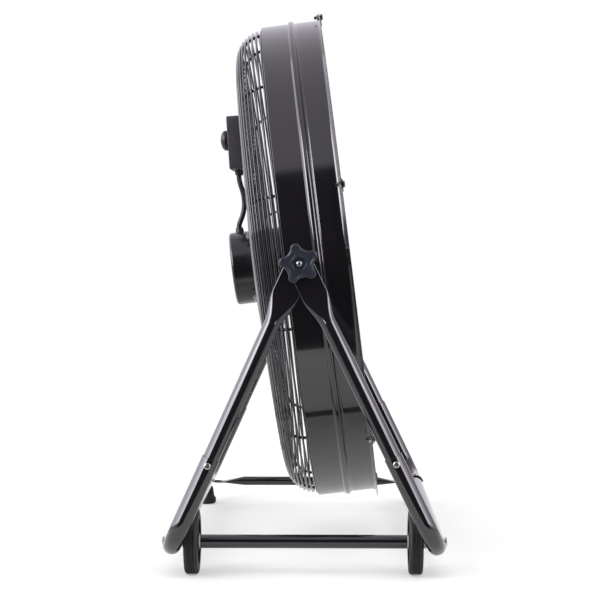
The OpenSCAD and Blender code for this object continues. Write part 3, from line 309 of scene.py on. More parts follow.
def start_material(name, **sockets):
    """A new Principled material with its uniform values set on the shader's own sockets."""
    material = bpy.data.materials.new(name)
    material.use_nodes = True
    tree = material.node_tree
    tree.nodes.clear()
    shader = add_node(tree, "BsdfPrincipled", {k.replace("_", " "): v for k, v in sockets.items()})
    add_node(tree, "OutputMaterial", {"Surface": shader.outputs[0]})
    coords = add_node(tree, "TexCoord").outputs["Object"]
    return material, tree, shader, coords


def roughen(tree, shader, coords, size_mm, low, high):
    """Lets the roughness wander between two values over patches of the given size."""
    noise = add_node(tree, "TexNoise", {"Vector": coords, "Scale": 1000 / size_mm, "Detail": 3.0})
    spread = add_node(tree, "MapRange", {"Value": noise.outputs["Fac"], "From Min": 0.3, "From Max": 0.7,
                                                   "To Min": low, "To Max": high})
    tree.links.new(spread.outputs[0], shader.inputs["Roughness"])


def grain(tree, shader, coords, size_mm, height_mm, strength):
    """Raises a fine grain of the given size and height."""
    noise = add_node(tree, "TexNoise", {"Vector": coords, "Scale": 1000 / size_mm, "Detail": 2.0})
    bump = add_node(tree, "Bump", {"Height": noise.outputs["Fac"], "Strength": strength,
                                             "Distance": height_mm * MM})
    tree.links.new(bump.outputs["Normal"], shader.inputs["Normal"])


def shade(color, factor):
    return (*[min(1.0, c * factor) for c in color[:3]], 1.0)


def blend_tones(tree, shader, factor, color, dark, light):
    """Mixes the colour's darker and lighter tones by a factor."""
    mix = add_node(tree, "Mix", {0: factor, 6: shade(color, dark), 7: shade(color, light)},
                   data_type="RGBA")
    tree.links.new(mix.outputs[2], shader.inputs["Base Color"])


def tint(tree, shader, coords, size_mm, color, dark, light):
    """Lets the colour drift between two close tones over patches of the given size."""
    noise = add_node(tree, "TexNoise", {"Vector": coords, "Scale": 1000 / size_mm, "Detail": 4.0})
    blend_tones(tree, shader, noise.outputs["Fac"], color, dark, light)


def powder_coat(name, color, low, high, peel_mm, peel_height, gloss, blur):
    """Powder coated steel: a baked film over sheet and tube, which gives a dark body, a clear gloss and faint
    orange peel, at its real size of about a millimetre."""
    material, tree, shader, coords = start_material(name, Coat_Weight=gloss, Coat_Roughness=blur)
    tint(tree, shader, coords, 60, color, 0.85, 1.2)
    roughen(tree, shader, coords, 45, low, high)
    grain(tree, shader, coords, peel_mm, peel_height, 0.5)
    return material


def zinc_plate(name, color):
    """Zinc plated steel: bright, slightly yellowish grey metal with a turning haze, drawn coarser than it is, in
    patches of 3 to 4 mm, so that it shows."""
    material, tree, shader, coords = start_material(name, Metallic=1.0)
    tint(tree, shader, coords, 4, color, 0.82, 1.05)
    roughen(tree, shader, coords, 3, 0.22, 0.38)
    return material


def moulded(name, color, low, high, size_mm, height_mm):
    """Moulded plastic or rubber: the even spark grain of the mould over a barely mottled colour. The grain is drawn a
    few times coarser than it is, so that it shows."""
    material, tree, shader, coords = start_material(name)
    tint(tree, shader, coords, 25, color, 0.88, 1.15)
    roughen(tree, shader, coords, 12, low, high)
    grain(tree, shader, coords, size_mm, height_mm, 0.6)
    return material


def rolled_metal(name, color, low, high, stretch):
    """Rolled or turned bare metal: lines along one way, from the rolls or the tool, 17 mm long and finer across by the
    stretch, which is coarser than they are, so that they show."""
    material, tree, shader, coords = start_material(name, Metallic=1.0)
    lines = add_node(tree, "Mapping", {"Vector": coords, "Scale": stretch})
    noise = add_node(tree, "TexNoise", {"Vector": lines.outputs[0], "Scale": 60.0, "Detail": 5.0})
    spread = add_node(tree, "MapRange", {"Value": noise.outputs["Fac"], "To Min": low, "To Max": high})
    tree.links.new(spread.outputs[0], shader.inputs["Roughness"])
    blend_tones(tree, shader, noise.outputs["Fac"], color, 0.8, 1.1)
    return material


# Each finish: its maker, its name, its colour or the property that holds it, and the maker's other values
FINISH_TABLE = {
    "paint": (powder_coat, "steel_powder_coated_gloss", "paint", 0.10, 0.17, 1.2, 0.004, 1.0, 0.04),
    "wire": (powder_coat, "wire_powder_coated", "wire", 0.12, 0.2, 0.8, 0.003, 1.0, 0.05),
    "motor": (powder_coat, "cast_aluminium_painted", "paint", 0.25, 0.35, 0.5, 0.008, 0.6, 0.12),
    "zinc": (zinc_plate, "steel_zinc_plated", "zinc"),
    "plastic": (moulded, "abs_moulded_black", "plastic", 0.22, 0.32, 0.6, 0.003),
    "box": (moulded, "abs_moulded_grained", "box", 0.38, 0.5, 0.6, 0.006),
    "knob": (moulded, "polypropylene_moulded_blue_grey", "knob", 0.26, 0.36, 0.4, 0.02),
    "wheel": (moulded, "polypropylene_moulded_wheel", "plastic", 0.45, 0.6, 0.4, 0.02),
    "rubber": (moulded, "rubber_moulded_black", "rubber", 0.6, 0.8, 0.3, 0.03),
    "tyre": (moulded, "rubber_moulded_tyre", "rubber", 0.5, 0.7, 0.5, 0.04),
    "sheath": (moulded, "pvc_sheath_black", "plastic", 0.35, 0.5, 1.0, 0.02),
    "nylon": (moulded, "nylon_moulded_natural", srgb("e4e2dc"), 0.35, 0.5, 0.5, 0.01),
    "bakelite": (moulded, "phenolic_moulded_cream", srgb("cfc7b2"), 0.4, 0.55, 0.5, 0.01),
    "blade": (rolled_metal, "aluminium_rolled_sheet", srgb("b9bcc0"), 0.25, 0.45, (1, 1, 8)),
    "steel": (rolled_metal, "steel_turned_bright", srgb("a9abad"), 0.2, 0.35, (8, 1, 1)),
    "stack": (rolled_metal, "steel_lamination_stack", srgb("77797c"), 0.4, 0.6, (40, 1, 1)),
    "copper": (rolled_metal, "copper_enamelled_wire", srgb("a5622f"), 0.3, 0.45, (1, 1, 1)),
    "brass": (rolled_metal, "brass_turned_insert", srgb("c9a54e"), 0.2, 0.35, (1, 8, 1)),
}
DARKER = {"motor": 0.8}
FINISHES = {}


def finish(key):
    """The finish of that key, made the first time it is asked for."""
    if key not in FINISHES:
        maker, name, color, *values = FINISH_TABLE[key]
        color = getattr(colours(), color) if isinstance(color, str) else color
        FINISHES[key] = maker(name, shade(color, DARKER.get(key, 1.0)), *values)
    return FINISHES[key]


# The slot for the finish of each piece
SLOTS = {"paint": "black_paint", "wire": "black_paint", "motor": "black_paint", "zinc": "zinc_steel",
         "box": "black_plastic", "plastic": "black_plastic", "knob": "knob_plastic", "rubber": "black_rubber",
         "sheath": "black_rubber", "tyre": "tyre_rubber"}

# The finish of each solid of the frame that no piece replaces
NODE_FINISH = {
    "paint": ["front_guard_plate", "front_guard_lugs", "rear_guard_plate", "pivot_backing_plates", "pivot_spacers",
              "base_brace", "axle_tube"],
    "wire": ["lip_screws_set"],
    "motor": ["motor_front_shell"],
    "zinc": ["lip_nuts", "motor_bolts", "motor_nuts", "blade_rivets", "hub_nut", "box_screws", "box_clamp_bars",
             "clamp_washers", "axle_rod"],
    "steel": ["rotor_shaft", "motor_bearings", "fan_hub"],
    "blade": ["fan_blades"],
    "stack": ["motor_stator", "rotor_core"],
    "copper": ["stator_windings"],
    "wheel": ["wheel_rear", "wheel_front"],
    "bakelite": ["speed_switch", "run_capacitor"],
    "brass": ["tilt_insert_near", "tilt_insert_far"],
    "sheath": ["cable_glands"],
    "rubber": ["friction_washers"],
    "nylon": ["axle_washers"],
}


class DRUMFAN_OT_frame_finishes(Operator):
    """Gives each solid of the frame that no piece replaces its finish."""
    bl_idname = "drumfan.frame_finishes"
    bl_label = "Finish the frame"

    def execute(self, context):
        for key, names in NODE_FINISH.items():
            for name in names:
                for place in NODES[name].material_slots:
                    place.material = finish(key)
        return {"FINISHED"}


# Drum

def drum_height(x, bead_width, bead_height, groove_depth):
    """How far the rolled sheet stands off its cylinder at x: a half ellipse b sqrt(1 - u^2), averaged over 1 mm to
    round its foot, and a narrow groove of exp(-u^2)."""
    u = [2 * (x - BEAD_X + off) / bead_width for off in np.linspace(-0.5, 0.5, 7)]
    bead = bead_height * np.mean([np.sqrt(np.maximum(1 - v ** 2, 0)) for v in u], axis=0)
    groove = groove_depth * np.exp(-((x - BEAD_X - bead_width / 2 - 2.4) / 0.8) ** 2)
    return bead - groove


class DRUMFAN_OT_drum(Operator):
    """Rolled sheet drum: a profile of wall, bead, groove and flared lip revolved about the axis of the airflow."""
    bl_idname = "drumfan.drum"
    bl_label = "Drum"

    def execute(self, context):
        s = sizes()
        bend_x, bend_r = FRONT_X - DRUM_WALL - LIP_BEND, DRUM_R + LIP_BEND
        x = np.concatenate([[REAR_X + 0.4], np.linspace(REAR_X + 2, BEAD_X - 9, 4),
                            np.linspace(BEAD_X - 8, BEAD_X + 10, 64), np.linspace(BEAD_X + 11, bend_x, 5)])
        off = drum_height(x, s.bead_width / MM, s.bead_height / MM, s.groove_depth / MM)
        a = np.radians(np.linspace(0, 90, 12))[1:]
        outer = np.stack([x, DRUM_R + off], -1)
        outer_bend = np.stack([bend_x + LIP_BEND * np.sin(a), bend_r - LIP_BEND * np.cos(a)], -1)
        lip = np.array([[FRONT_X - DRUM_WALL, DRUM_R + LIP_H - 0.3], [FRONT_X - DRUM_WALL * 0.7, DRUM_R + LIP_H],
                        [FRONT_X - DRUM_WALL * 0.3, DRUM_R + LIP_H], [FRONT_X, DRUM_R + LIP_H - 0.3]])
        far = LIP_BEND + DRUM_WALL
        inner_bend = np.stack([bend_x + far * np.sin(a[::-1]), bend_r - far * np.cos(a[::-1])], -1)
        inner = np.stack([x[::-1], DRUM_R - DRUM_WALL + off[::-1]], -1)
        rear = np.array([[REAR_X, DRUM_R - DRUM_WALL * 0.7], [REAR_X, DRUM_R - DRUM_WALL * 0.3]])
        profile = np.concatenate([outer, outer_bend, lip, inner_bend, inner, rear])
        make_piece("drum_skin", [head_ring(turned(profile, 360))], "paint", "head", ["drum_shell"])
        return {"FINISHED"}


# Guards

def skin_x(r, inwards):
    return SKIN_X0 - (SKIN_R0 - r) * SLOPE_TAN + inwards / SLOPE_COS


def radial_wires(line):
    """Bent round wires: one flat line of (x, r) carried round the axis at each rib's angle from the top."""
    grids = []
    for index in range(RIB_COUNT):
        a = math.radians(RIB_PHASE + index * 360 / RIB_COUNT)
        out = np.array([0, -math.sin(a), math.cos(a)])
        path = line[:, :1] * np.array([1, 0, 0]) + line[:, 1:] * out
        grids.append(surface(head_place(tube(path, RIB_WIRE / 2, np.cross([1, 0, 0], out), 12))))
    return grids


def rim_hoop(x):
    """The guard's hoop of thicker wire at the drum's wall."""
    return ring_wires([(x, HOOP_R)], HOOP_WIRE, sides=14)


class DRUMFAN_OT_rear_guard(Operator):
    """Domed rear guard: rings of round wire down the sloping back and round the corner, over bent radial wires."""
    bl_idname = "drumfan.rear_guard"
    bl_label = "Rear guard"

    def execute(self, context):
        count = int((SKIN_R0 - RING_WIRE - FIRST_RING_R) // RING_PITCH)
        r = FIRST_RING_R + np.arange(count + 1) * RING_PITCH
        face = np.stack([skin_x(r, RING_WIRE / 2), r], -1)
        make_piece("rear_guard_back_wires", ring_wires(face, RING_WIRE), "wire", "head", ["rear_guard_face_rings"])
        a = (math.pi / 2 - GUARD_SLOPE) * (np.arange(CORNER_RINGS) + 0.5) / CORNER_RINGS
        corner = np.stack([CORNER_X - RING_ARC * np.sin(a), CORNER_R + RING_ARC * np.cos(a)], -1)
        make_piece("rear_guard_corner_wires", ring_wires(corner, RING_WIRE) + rim_hoop(REAR_X + 4), "wire", "head",
                   ["rear_guard_corner_rings"])
        line_len = (LINE_R0 - MOTOR_R - PLATE_MARGIN) / SLOPE_COS
        steps = np.linspace(line_len, 0, 5)[:-1, None]
        back = np.array([LINE_X0, LINE_R0]) - steps * np.array([SLOPE_SIN, SLOPE_COS])
        t = np.linspace(math.pi / 2 - GUARD_SLOPE, 0, 20)
        bend = np.stack([CORNER_X - RIB_ARC * np.sin(t), CORNER_RI + RIB_ARC * np.cos(t)], -1)
        line = np.concatenate([back, bend, [[REAR_X + 7.2, RIB_R]]])
        make_piece("rear_guard_radial_wires", radial_wires(line), "wire", "head", ["rear_guard_ribs"])
        return {"FINISHED"}


class DRUMFAN_OT_front_guard(Operator):
    """Flat front guard: rings of round wire and a hoop, over straight radial wires on an inner ring."""
    bl_idname = "drumfan.front_guard"
    bl_label = "Front guard"

    def execute(self, context):
        ring_x = FRONT_X - RING_WIRE / 2 - SEAT
        rib_x = ring_x - RING_WIRE / 2 - RIB_WIRE / 2 - SEAT
        count = int((HOOP_R - 2 * RING_WIRE - FIRST_RING_R) // RING_PITCH)
        rings = [(ring_x, FIRST_RING_R + i * RING_PITCH) for i in range(count + 1)]
        make_piece("front_guard_ring_wires", ring_wires(rings, RING_WIRE) + rim_hoop(FRONT_X - HOOP_WIRE / 2 - SEAT),
                   "wire", "head", ["front_guard_rings"])
        line = np.array([[rib_x, FRONT_RIB_IN], [rib_x, 200], [rib_x, HOOP_R - HOOP_WIRE / 2 - SEAT]])
        rim, half = FRONT_RIB_IN - SEAT, 1.0
        start = (rib_x - half, (FRONT_RIB_IN + FRONT_BAND_IN) / 2)
        band = turned(round_corner_line([start, (rib_x - half, rim), (rib_x + half, rim),
                                         (rib_x + half, FRONT_BAND_IN), (rib_x - half, FRONT_BAND_IN), start],
                                        0.4), 96)
        make_piece("front_guard_radial_wires", radial_wires(line) + [head_ring(band)],
                   "wire", "head", ["front_guard_ribs"])
        return {"FINISHED"}


# Legs and base

def leg_sections(s):
    """Half width, half thickness and roundness of a leg at each distance down from the pivot."""
    blend = smooth_step((s - FLAT_LEN) / SWAGE_LEN)
    wide = FLAT_W / 2 + (LEG_R - FLAT_W / 2) * blend
    wide = np.where(s < 0, np.sqrt(np.maximum((FLAT_W / 2) ** 2 - s ** 2, 0)), wide)
    thick = FLAT_T / 2 + (LEG_R - FLAT_T / 2) * np.clip((s - FLAT_LEN) / SWAGE_LEN, 0, 1) ** 1.1
    return wide, thick, blend


def leg_surface(angle, y):
    """A tube pressed flat at its top: a flat-sided oval that turns into a circle, carried down the leg."""
    s = np.concatenate([-FLAT_W / 2 * np.cos(np.linspace(0, math.pi / 2, 14)), np.linspace(4, FLAT_LEN, 8),
                        np.linspace(FLAT_LEN, FLAT_LEN + SWAGE_LEN, 30)[1:], [150, 250, COLLAR_AT + LEG_OVERLAP]])
    wide, thick, blend = leg_sections(s)
    a = full_turn(64)[None]
    wide, thick, blend = wide[:, None], thick[:, None], blend[:, None]
    flat_cos, flat_sin = 0.35, 0.937
    flat_x = np.maximum(wide - thick, 0) * np.clip(np.cos(a) / flat_cos, -1, 1) + np.minimum(thick, wide) * np.cos(a)
    flat_y = thick * np.clip(np.sin(a) / flat_sin, -1, 1)
    x = flat_x * (1 - blend) + wide * np.cos(a) * blend
    y_off = flat_y * (1 - blend) + thick * np.sin(a) * blend
    down = np.array([-math.sin(angle), 0, -math.cos(angle)])
    across = np.array([math.cos(angle), 0, -math.sin(angle)])
    middle = np.array([0, y, PIVOT_Z]) + s[:, None] * down
    points = middle[:, None] + x[..., None] * across + y_off[..., None] * np.array([0, 1.0, 0])
    points = np.concatenate([points, np.repeat(middle[-1:, None], points.shape[1], 1)])
    return surface(stand_place(points))


class DRUMFAN_OT_legs(Operator):
    """Four upper legs, pressed flat where they pivot and round where they slide into the base tubes."""
    bl_idname = "drumfan.legs"
    bl_label = "Upper legs"

    def execute(self, context):
        for side, sign in (("near", -1), ("far", 1)):
            for end, _, angle, y in ENDS:
                name = f"leg_{end}_{side}"
                make_piece("pressed_" + name, [leg_surface(angle, sign * y)], "paint", "stand", [name])
        return {"FINISHED"}


def base_surface(x, angle, half):
    """A bent tube with open ends: a circle carried down a leg, round a bend, along the floor and up again."""
    leg_len = (PIVOT_Z - RUN_Z) / math.cos(angle) - COLLAR_AT
    t = np.radians(np.linspace(180, 270, 24))
    bend = np.stack([-half + BEND_R + BEND_R * np.cos(t), BEND_R + BEND_R * np.sin(t)], -1)
    left = np.concatenate([[(-half, leg_len), (-half, leg_len - 0.3), (-half, leg_len - 20)], bend])
    flat = np.concatenate([left, [(0, 0)], left[::-1] * np.array([-1, 1])])
    up = np.array([math.sin(angle), 0, math.cos(angle)])
    path = np.array([x, 0, RUN_Z]) + flat[:, :1] * np.array([0, 1.0, 0]) + flat[:, 1:] * up
    along = directions(path)
    radius = np.full(len(path), BASE_R)
    radius[[0, -1]] = BASE_R - 0.3
    bore_deep = 25
    lips_in = [(bore_deep, 0), (bore_deep, BASE_RI), (0.3, BASE_RI), (0, BASE_RI + 0.2)]
    first = np.array([path[0] + along[0] * d for d, _ in lips_in])
    last = np.array([path[-1] - along[-1] * d for d, _ in lips_in[::-1]])
    path = np.concatenate([first, path, last])
    along = np.concatenate([np.repeat(along[:1], 4, 0), along, np.repeat(along[-1:], 4, 0)])
    rim = [r for _, r in lips_in]
    radius = np.concatenate([rim, radius, rim[::-1]])
    return surface(stand_place(carry_circle(path, along, radius, np.cross(up, [0, 1.0, 0]), 48)))


class DRUMFAN_OT_base_tubes(Operator):
    """Two bent base tubes with open ends that the legs slide into."""
    bl_idname = "drumfan.base_tubes"
    bl_label = "Base tubes"

    def execute(self, context):
        for end, x, angle, y in ENDS:
            make_piece("bent_base_tube_" + end, [base_surface(x, angle, y)], "paint", "stand", ["base_tube_" + end])
        return {"FINISHED"}


# Screws

def pan_head(radius, height, recess, sides=40):
    """A pan head standing on z = 0: a low dome with a rounded rim, and a cross recess sunk into it."""
    rho = np.concatenate([[1.0, 1.0, 0.985], np.linspace(0.95, 0.0, 22)])
    a = full_turn(sides)
    dome = height * (0.62 + 0.38 * np.sqrt(np.maximum(1 - rho ** 2.4, 0)))
    dome[0], dome[1] = 0.0, height * 0.5
    x = radius * rho[:, None] * np.cos(a)
    y = radius * rho[:, None] * np.sin(a)
    arm, slot = radius * 0.52, radius * 0.13
    soft = radius * 0.05
    cross = np.maximum(np.minimum((slot - np.abs(x)) / soft, (arm - np.abs(y)) / soft),
                       np.minimum((slot - np.abs(y)) / soft, (arm - np.abs(x)) / soft))
    z = dome[:, None] - recess * smooth_step(cross)
    return np.concatenate([np.zeros((1, sides, 3)), np.stack([x, y, z], -1)])


def spun(points, turn):
    """First two coordinates of points after a turn about the third axis."""
    c, s = math.cos(turn), math.sin(turn)
    return points[..., 0] * c - points[..., 1] * s, points[..., 0] * s + points[..., 1] * c


def aim(points, origin, out, turn=0.0):
    """Stands points made on +Z at an origin so that +Z runs along out, after a turn about it."""
    out = np.asarray(out, float) / np.linalg.norm(out)
    helper = np.array([0, 0, 1.0]) if abs(out[2]) < 0.9 else np.array([1.0, 0, 0])
    right = np.cross(helper, out)
    right /= np.linalg.norm(right)
    up = np.cross(out, right)
    x, y = spun(points, turn)
    return np.asarray(origin, float) + x[..., None] * right + y[..., None] * up + points[..., 2:] * out


def shank(radius, low, high, sides=24):
    """A round rod from z = low to z = high."""
    a = full_turn(sides)
    rows = [(0, low), (radius, low), (radius, high), (0, high)]
    return np.stack([np.stack([r * np.cos(a), r * np.sin(a), np.full(sides, z)], -1) for r, z in rows])


def stand_screw(origin, out, turn, head, rod):
    """A pan head of (radius, height) on a rod of (radius, length), standing at an origin along out."""
    recess = sizes().recess_depth / MM
    return [surface(stand_place(aim(pan_head(*head, recess), origin, out, turn))),
            surface(stand_place(aim(shank(rod[0], -rod[1], 0.4), origin, out)))]


class DRUMFAN_OT_stand_screws(Operator):
    """Pan head screws at the four collars and at the ends of the brace."""
    bl_idname = "drumfan.stand_screws"
    bl_label = "Stand screws"

    def execute(self, context):
        grids = []
        for (_, _, angle, y), turns in zip(ENDS, ((0.3, 0.9), (1.4, 0.1))):
            down = np.array([-math.sin(angle), 0, -math.cos(angle)])
            for side, turn in zip((-1, 1), turns):
                origin = np.array([0, side * (y + BASE_R + 0.5), PIVOT_Z]) + down * COLLAR_SCREW_AT
                grids += stand_screw(origin, (0, side, 0), turn, COLLAR_HEAD, COLLAR_ROD)
        make_piece("collar_pan_screws", grids, "zinc", "stand", ["leg_screws"], 28)
        grids = []
        for _, x, _, _ in ENDS:
            origin = np.array([x, BRACE_Y, RUN_Z + BASE_R + 2 * SEAT + BRACE_LAP_T])
            grids += stand_screw(origin, (0, 0, 1), 0.5, BRACE_HEAD, BRACE_ROD)
        make_piece("brace_pan_screws", grids, "zinc", "stand", ["brace_screws"], 28)
        return {"FINISHED"}


# Star knobs

def star_outline(sides):
    """Radius of the star knob at each angle: lobes of radius p centred a out, r = a cos t + sqrt(p^2 - a^2 sin^2 t),
    cut by hollows of radius q centred b out, r = b cos u - sqrt(q^2 - b^2 sin^2 u)."""
    a = full_turn(sides)
    step = TAU / STAR_LOBES
    t = (a + step / 2) % step - step / 2
    u = a % step - step / 2
    lobe_sin, hollow_sin = LOBE_AT * np.abs(np.sin(t)), HOLLOW_AT * np.abs(np.sin(u))
    lobe = LOBE_AT * np.cos(t) + np.sqrt(np.maximum(LOBE_R ** 2 - lobe_sin ** 2, 0))
    lobe = np.where(lobe_sin < LOBE_R, lobe, WEB_R)
    hollow = HOLLOW_AT * np.cos(u) - np.sqrt(np.maximum(HOLLOW_R ** 2 - hollow_sin ** 2, 0))
    hollow = np.where(hollow_sin < HOLLOW_R, hollow, np.inf)
    return a, np.minimum(np.maximum(lobe, NECK_R), hollow)


def star_surface(edge, sides=200):
    """A star knob on z = 0: its outline carried up with rounded edges, over a slightly dished top, down a round
    recess to the bolt's end and back through the bore."""
    a, outline = star_outline(sides)
    recess, bore, back_edge = STAR_RECESS_R, INSERT_R, edge * 0.6
    t = np.linspace(0, math.pi / 2, 6)
    rows = [(np.full(sides, bore + 0.1), 0.0)]
    rows += [(outline - back_edge * (1 - math.sin(v)), back_edge * (1 - math.cos(v))) for v in t]
    rows += [(outline - edge * (1 - math.cos(v)), STAR_T - edge * (1 - math.sin(v))) for v in t]
    for k in np.linspace(0.1, 1, 8):
        rows.append(((outline - edge) * (1 - k) + (recess + 0.8) * k, STAR_T - 0.9 * math.sin(math.pi * k)))
    floor = STAR_T - STAR_RECESS
    for r, z in ((recess + 0.3, STAR_T - 0.2), (recess, STAR_T - 0.7), (recess, floor + 0.3),
                 (BOLT_HOLE_R, floor + 0.3), (BOLT_HOLE_R, floor + SEAT), (bore, floor + SEAT), (bore, 0.0)):
        rows.append((np.full(sides, r), z))
    return np.array([np.stack([r * np.cos(a), r * np.sin(a), np.full(sides, z)], -1) for r, z in rows])


class DRUMFAN_OT_star_knobs(Operator):
    """Five lobed clamp knobs on the tilt bolts, one on each side."""
    bl_idname = "drumfan.star_knobs"
    bl_label = "Star knobs"

    def execute(self, context):
        star = star_surface(sizes().knob_edge / MM)
        x, z = spun(star, STAR_TURN)
        for side, sign in (("near", -1), ("far", 1)):
            points = np.stack([x, sign * (STAR_Y + star[..., 2]), z], -1)
            make_piece("star_tilt_knob_" + side, [head_ring(points)], "knob",
                       "clamp_knob_" + side, ["tilt_knob_" + side], 50)
        return {"FINISHED"}


class DRUMFAN_OT_tilt_bolts(Operator):
    """Carriage bolts of the tilt: a profile of domed head, shank and rounded end revolved about each bolt's axis."""
    bl_idname = "drumfan.tilt_bolts"
    bl_label = "Tilt bolts"

    def execute(self, context):
        inner = DRUM_R - DRUM_WALL - 2 * SEAT - BACKING_T
        end = STAR_Y + STAR_T - STAR_RECESS + BOLT_PROUD
        t = np.linspace(0, math.pi / 2, 9)
        head = np.stack([inner - 0.9 - 3.1 * np.cos(t), BOLT_HEAD_R * np.sin(t)], -1)
        tip = np.stack([end - 2.2 + 2.2 * np.sin(t), BOLT_R * np.cos(t)], -1)
        profile = np.concatenate([head, [(inner - 0.3, BOLT_HEAD_R), (inner - 0.3, BOLT_R)], tip])
        profile[-1, 1] = profile[0, 1] = 0
        a = full_turn(40)
        along = np.repeat(profile[:, :1], len(a), 1)
        x, z = profile[:, 1:] * np.cos(a), profile[:, 1:] * np.sin(a)
        grids = [surface(head_place(np.stack([x, side * along, z], -1))) for side in (-1, 1)]
        make_piece("tilt_carriage_bolts", grids, "zinc", "head", ["pivot_bolts"], 40)
        return {"FINISHED"}


# Wheels and feet

class DRUMFAN_OT_tyres(Operator):
    """Ribbed tyres: a profile with rounded shoulders and grooves revolved about the axle."""
    bl_idname = "drumfan.tyres"
    bl_label = "Tyres"

    def execute(self, context):
        s = sizes()
        depth, ribs = s.tread_depth / MM, s.tread_ribs
        flat = WHEEL_W / 2 - TYRE_ROUND
        tread = 2 * flat + 1
        u = np.linspace(-flat, flat, 24 * ribs + 1)
        phase = (u / tread + 0.5) * ribs
        wave = np.abs(phase - np.round(phase)) * tread / ribs
        inside = np.abs(u) < tread / 2 - tread / ribs / 2
        cut = depth * smooth_step((0.55 - wave) / 0.25) * inside
        crown = np.stack([u, WHEEL_R - cut], -1)
        a = np.radians(np.linspace(0, 90, 9))[:-1]
        arc = np.stack([-flat - TYRE_ROUND * np.cos(a), WHEEL_R - TYRE_ROUND + TYRE_ROUND * np.sin(a)], -1)
        left = np.concatenate([[(-WHEEL_W / 2, RIM_R + SEAT)], arc])
        profile = np.concatenate([left, crown, left[::-1] * [-1, 1]])
        points = turned(profile, 160)
        for end, x in (("rear", WHEEL_REAR_X), ("front", WHEEL_FRONT_X)):
            placed = points + np.array([x, -AXLE_Y, WHEEL_R])
            make_piece("ribbed_tyre_" + end, [surface(stand_place(placed), close_rows=True)], "tyre", end + "_wheel",
                       ["tyre_" + end], 40)
        return {"FINISHED"}


class DRUMFAN_OT_feet(Operator):
    """Moulded rubber feet: a bell profile revolved about the upright."""
    bl_idname = "drumfan.feet"
    bl_label = "Rubber feet"

    def execute(self, context):
        top, hidden = RUN_Z - BASE_R - 1.6, RUN_Z - BASE_R - 0.1
        line = round_corner_line([(0, 0), (0, 10.6), (1.4, 13.2), (3.2, 14.0), (9.0, 14.0), (12.0, 11.4), (top, 9.5),
                                  (hidden, 8.4), (hidden, 0)], 1.3)
        upright = turned(line, 72)[..., ::-1]
        for end, x, _, _ in ENDS:
            make_piece("rubber_foot_" + end, [surface(stand_place(upright + np.array([x, FOOT_Y, 0])))], "rubber",
                       "stand", ["foot_" + end], 40)
        return {"FINISHED"}


# Control box

def rounded_outline(width, height, corner, inset):
    """Rectangle with round corners, drawn in by an inset, as points round its edge."""
    w, h, r = width / 2 - inset, height / 2 - inset, max(corner - inset, 0.2)
    a = np.radians(np.linspace(0, 90, 12))
    quarter = np.stack([w - r + r * np.cos(a), h - r + r * np.sin(a)], -1)
    turns = [quarter, quarter[::-1] * [-1, 1], quarter * [-1, -1], quarter[::-1] * [1, -1]]
    return np.concatenate(turns)


def rounded_slab(width, height, corner, low, high, edge_low, edge_high):
    """A slab with round corners and rounded edges: outlines drawn in along a quarter circle at each face."""
    t = np.linspace(0, math.pi / 2, 6)
    rows = [(edge_low * (1 - math.sin(v)), low + edge_low * (1 - math.cos(v))) for v in t]
    rows += [(edge_high * (1 - math.cos(v)), high - edge_high * (1 - math.sin(v))) for v in t]
    out = []
    for inset, z in rows:
        ring = rounded_outline(width, height, corner, inset)
        out.append(np.concatenate([ring, np.full((len(ring), 1), z)], 1))
    centres = [row * [0, 0, 1] for row in (out[0], out[-1])]
    return np.array([centres[0], *out, centres[1]])


def round_rows(rows, a):
    """Circles round the speed knob's middle, in the box's own frame, from their radii and heights."""
    return np.stack([np.stack([r * np.cos(a), KNOB_UP + r * np.sin(a), 0 * a + z], -1) for r, z in rows])


def box_place(points):
    """Box's own frame (x across, y up the slope, z out of the guard) to the head's frame, then to the world."""
    p = np.asarray(points, float)
    up = np.array([SLOPE_SIN, 0, SLOPE_COS])
    out = np.array([-SLOPE_COS, 0, SLOPE_SIN])
    across = np.array([0, -1.0, 0])
    origin = np.array([skin_x(BOX_R, 0), 0, BOX_R])
    return head_place(origin + p[..., :1] * across + p[..., 1:2] * up + p[..., 2:] * out)


class DRUMFAN_OT_control_box(Operator):
    """Moulded control box with rounded edges, a cover with a seam, and a domed speed knob with a fluted skirt."""
    bl_idname = "drumfan.control_box"
    bl_label = "Control box"

    def execute(self, context):
        deep = BOX_DEEP - BOX_COVER
        body = rounded_slab(BOX_W, BOX_H, BOX_CORNER, SEAT, deep, 0.6, 0.4)
        make_piece("box_moulded_body", [surface(box_place(body))], "box", "head", ["control_box_body"], 50)
        cover = rounded_slab(BOX_W, BOX_H, BOX_CORNER, deep + SEAT, BOX_DEEP, 0.4, 1.6)
        foot, top = BOX_DEEP - 0.1, BOX_DEEP + 0.8
        boss = round_rows([(0, foot), (17, foot), (17, top - 0.3), (16.6, top), (14.6, top), (0, top)],
                          full_turn(64))
        make_piece("box_moulded_cover", [surface(box_place(cover)), surface(box_place(boss))], "box", "head",
                   ["control_box_cover"], 50)
        a = full_turn(180)
        flute = FLUTE_DEEP * (0.5 - 0.5 * np.cos(KNOB_FLUTES * a))
        low = top + 0.15
        rows = [(0, low, 0), (KNOB_R - 0.5, low, 0), (KNOB_R, low + 0.5, 1), (KNOB_R, low + KNOB_SKIRT, 1)]
        for v in np.linspace(0, math.pi / 2, 14)[1:]:
            rows.append((KNOB_R * math.cos(v), low + KNOB_SKIRT + KNOB_DOME * math.sin(v), max(0.0, 1 - v * 1.6)))
        knob = round_rows([(np.maximum(r - flute * k, 0), z) for r, z, k in rows], a)
        make_piece("speed_knob_fluted", [surface(box_place(knob))], "plastic", "speed_dial", ["speed_knob"], 45)
        return {"FINISHED"}


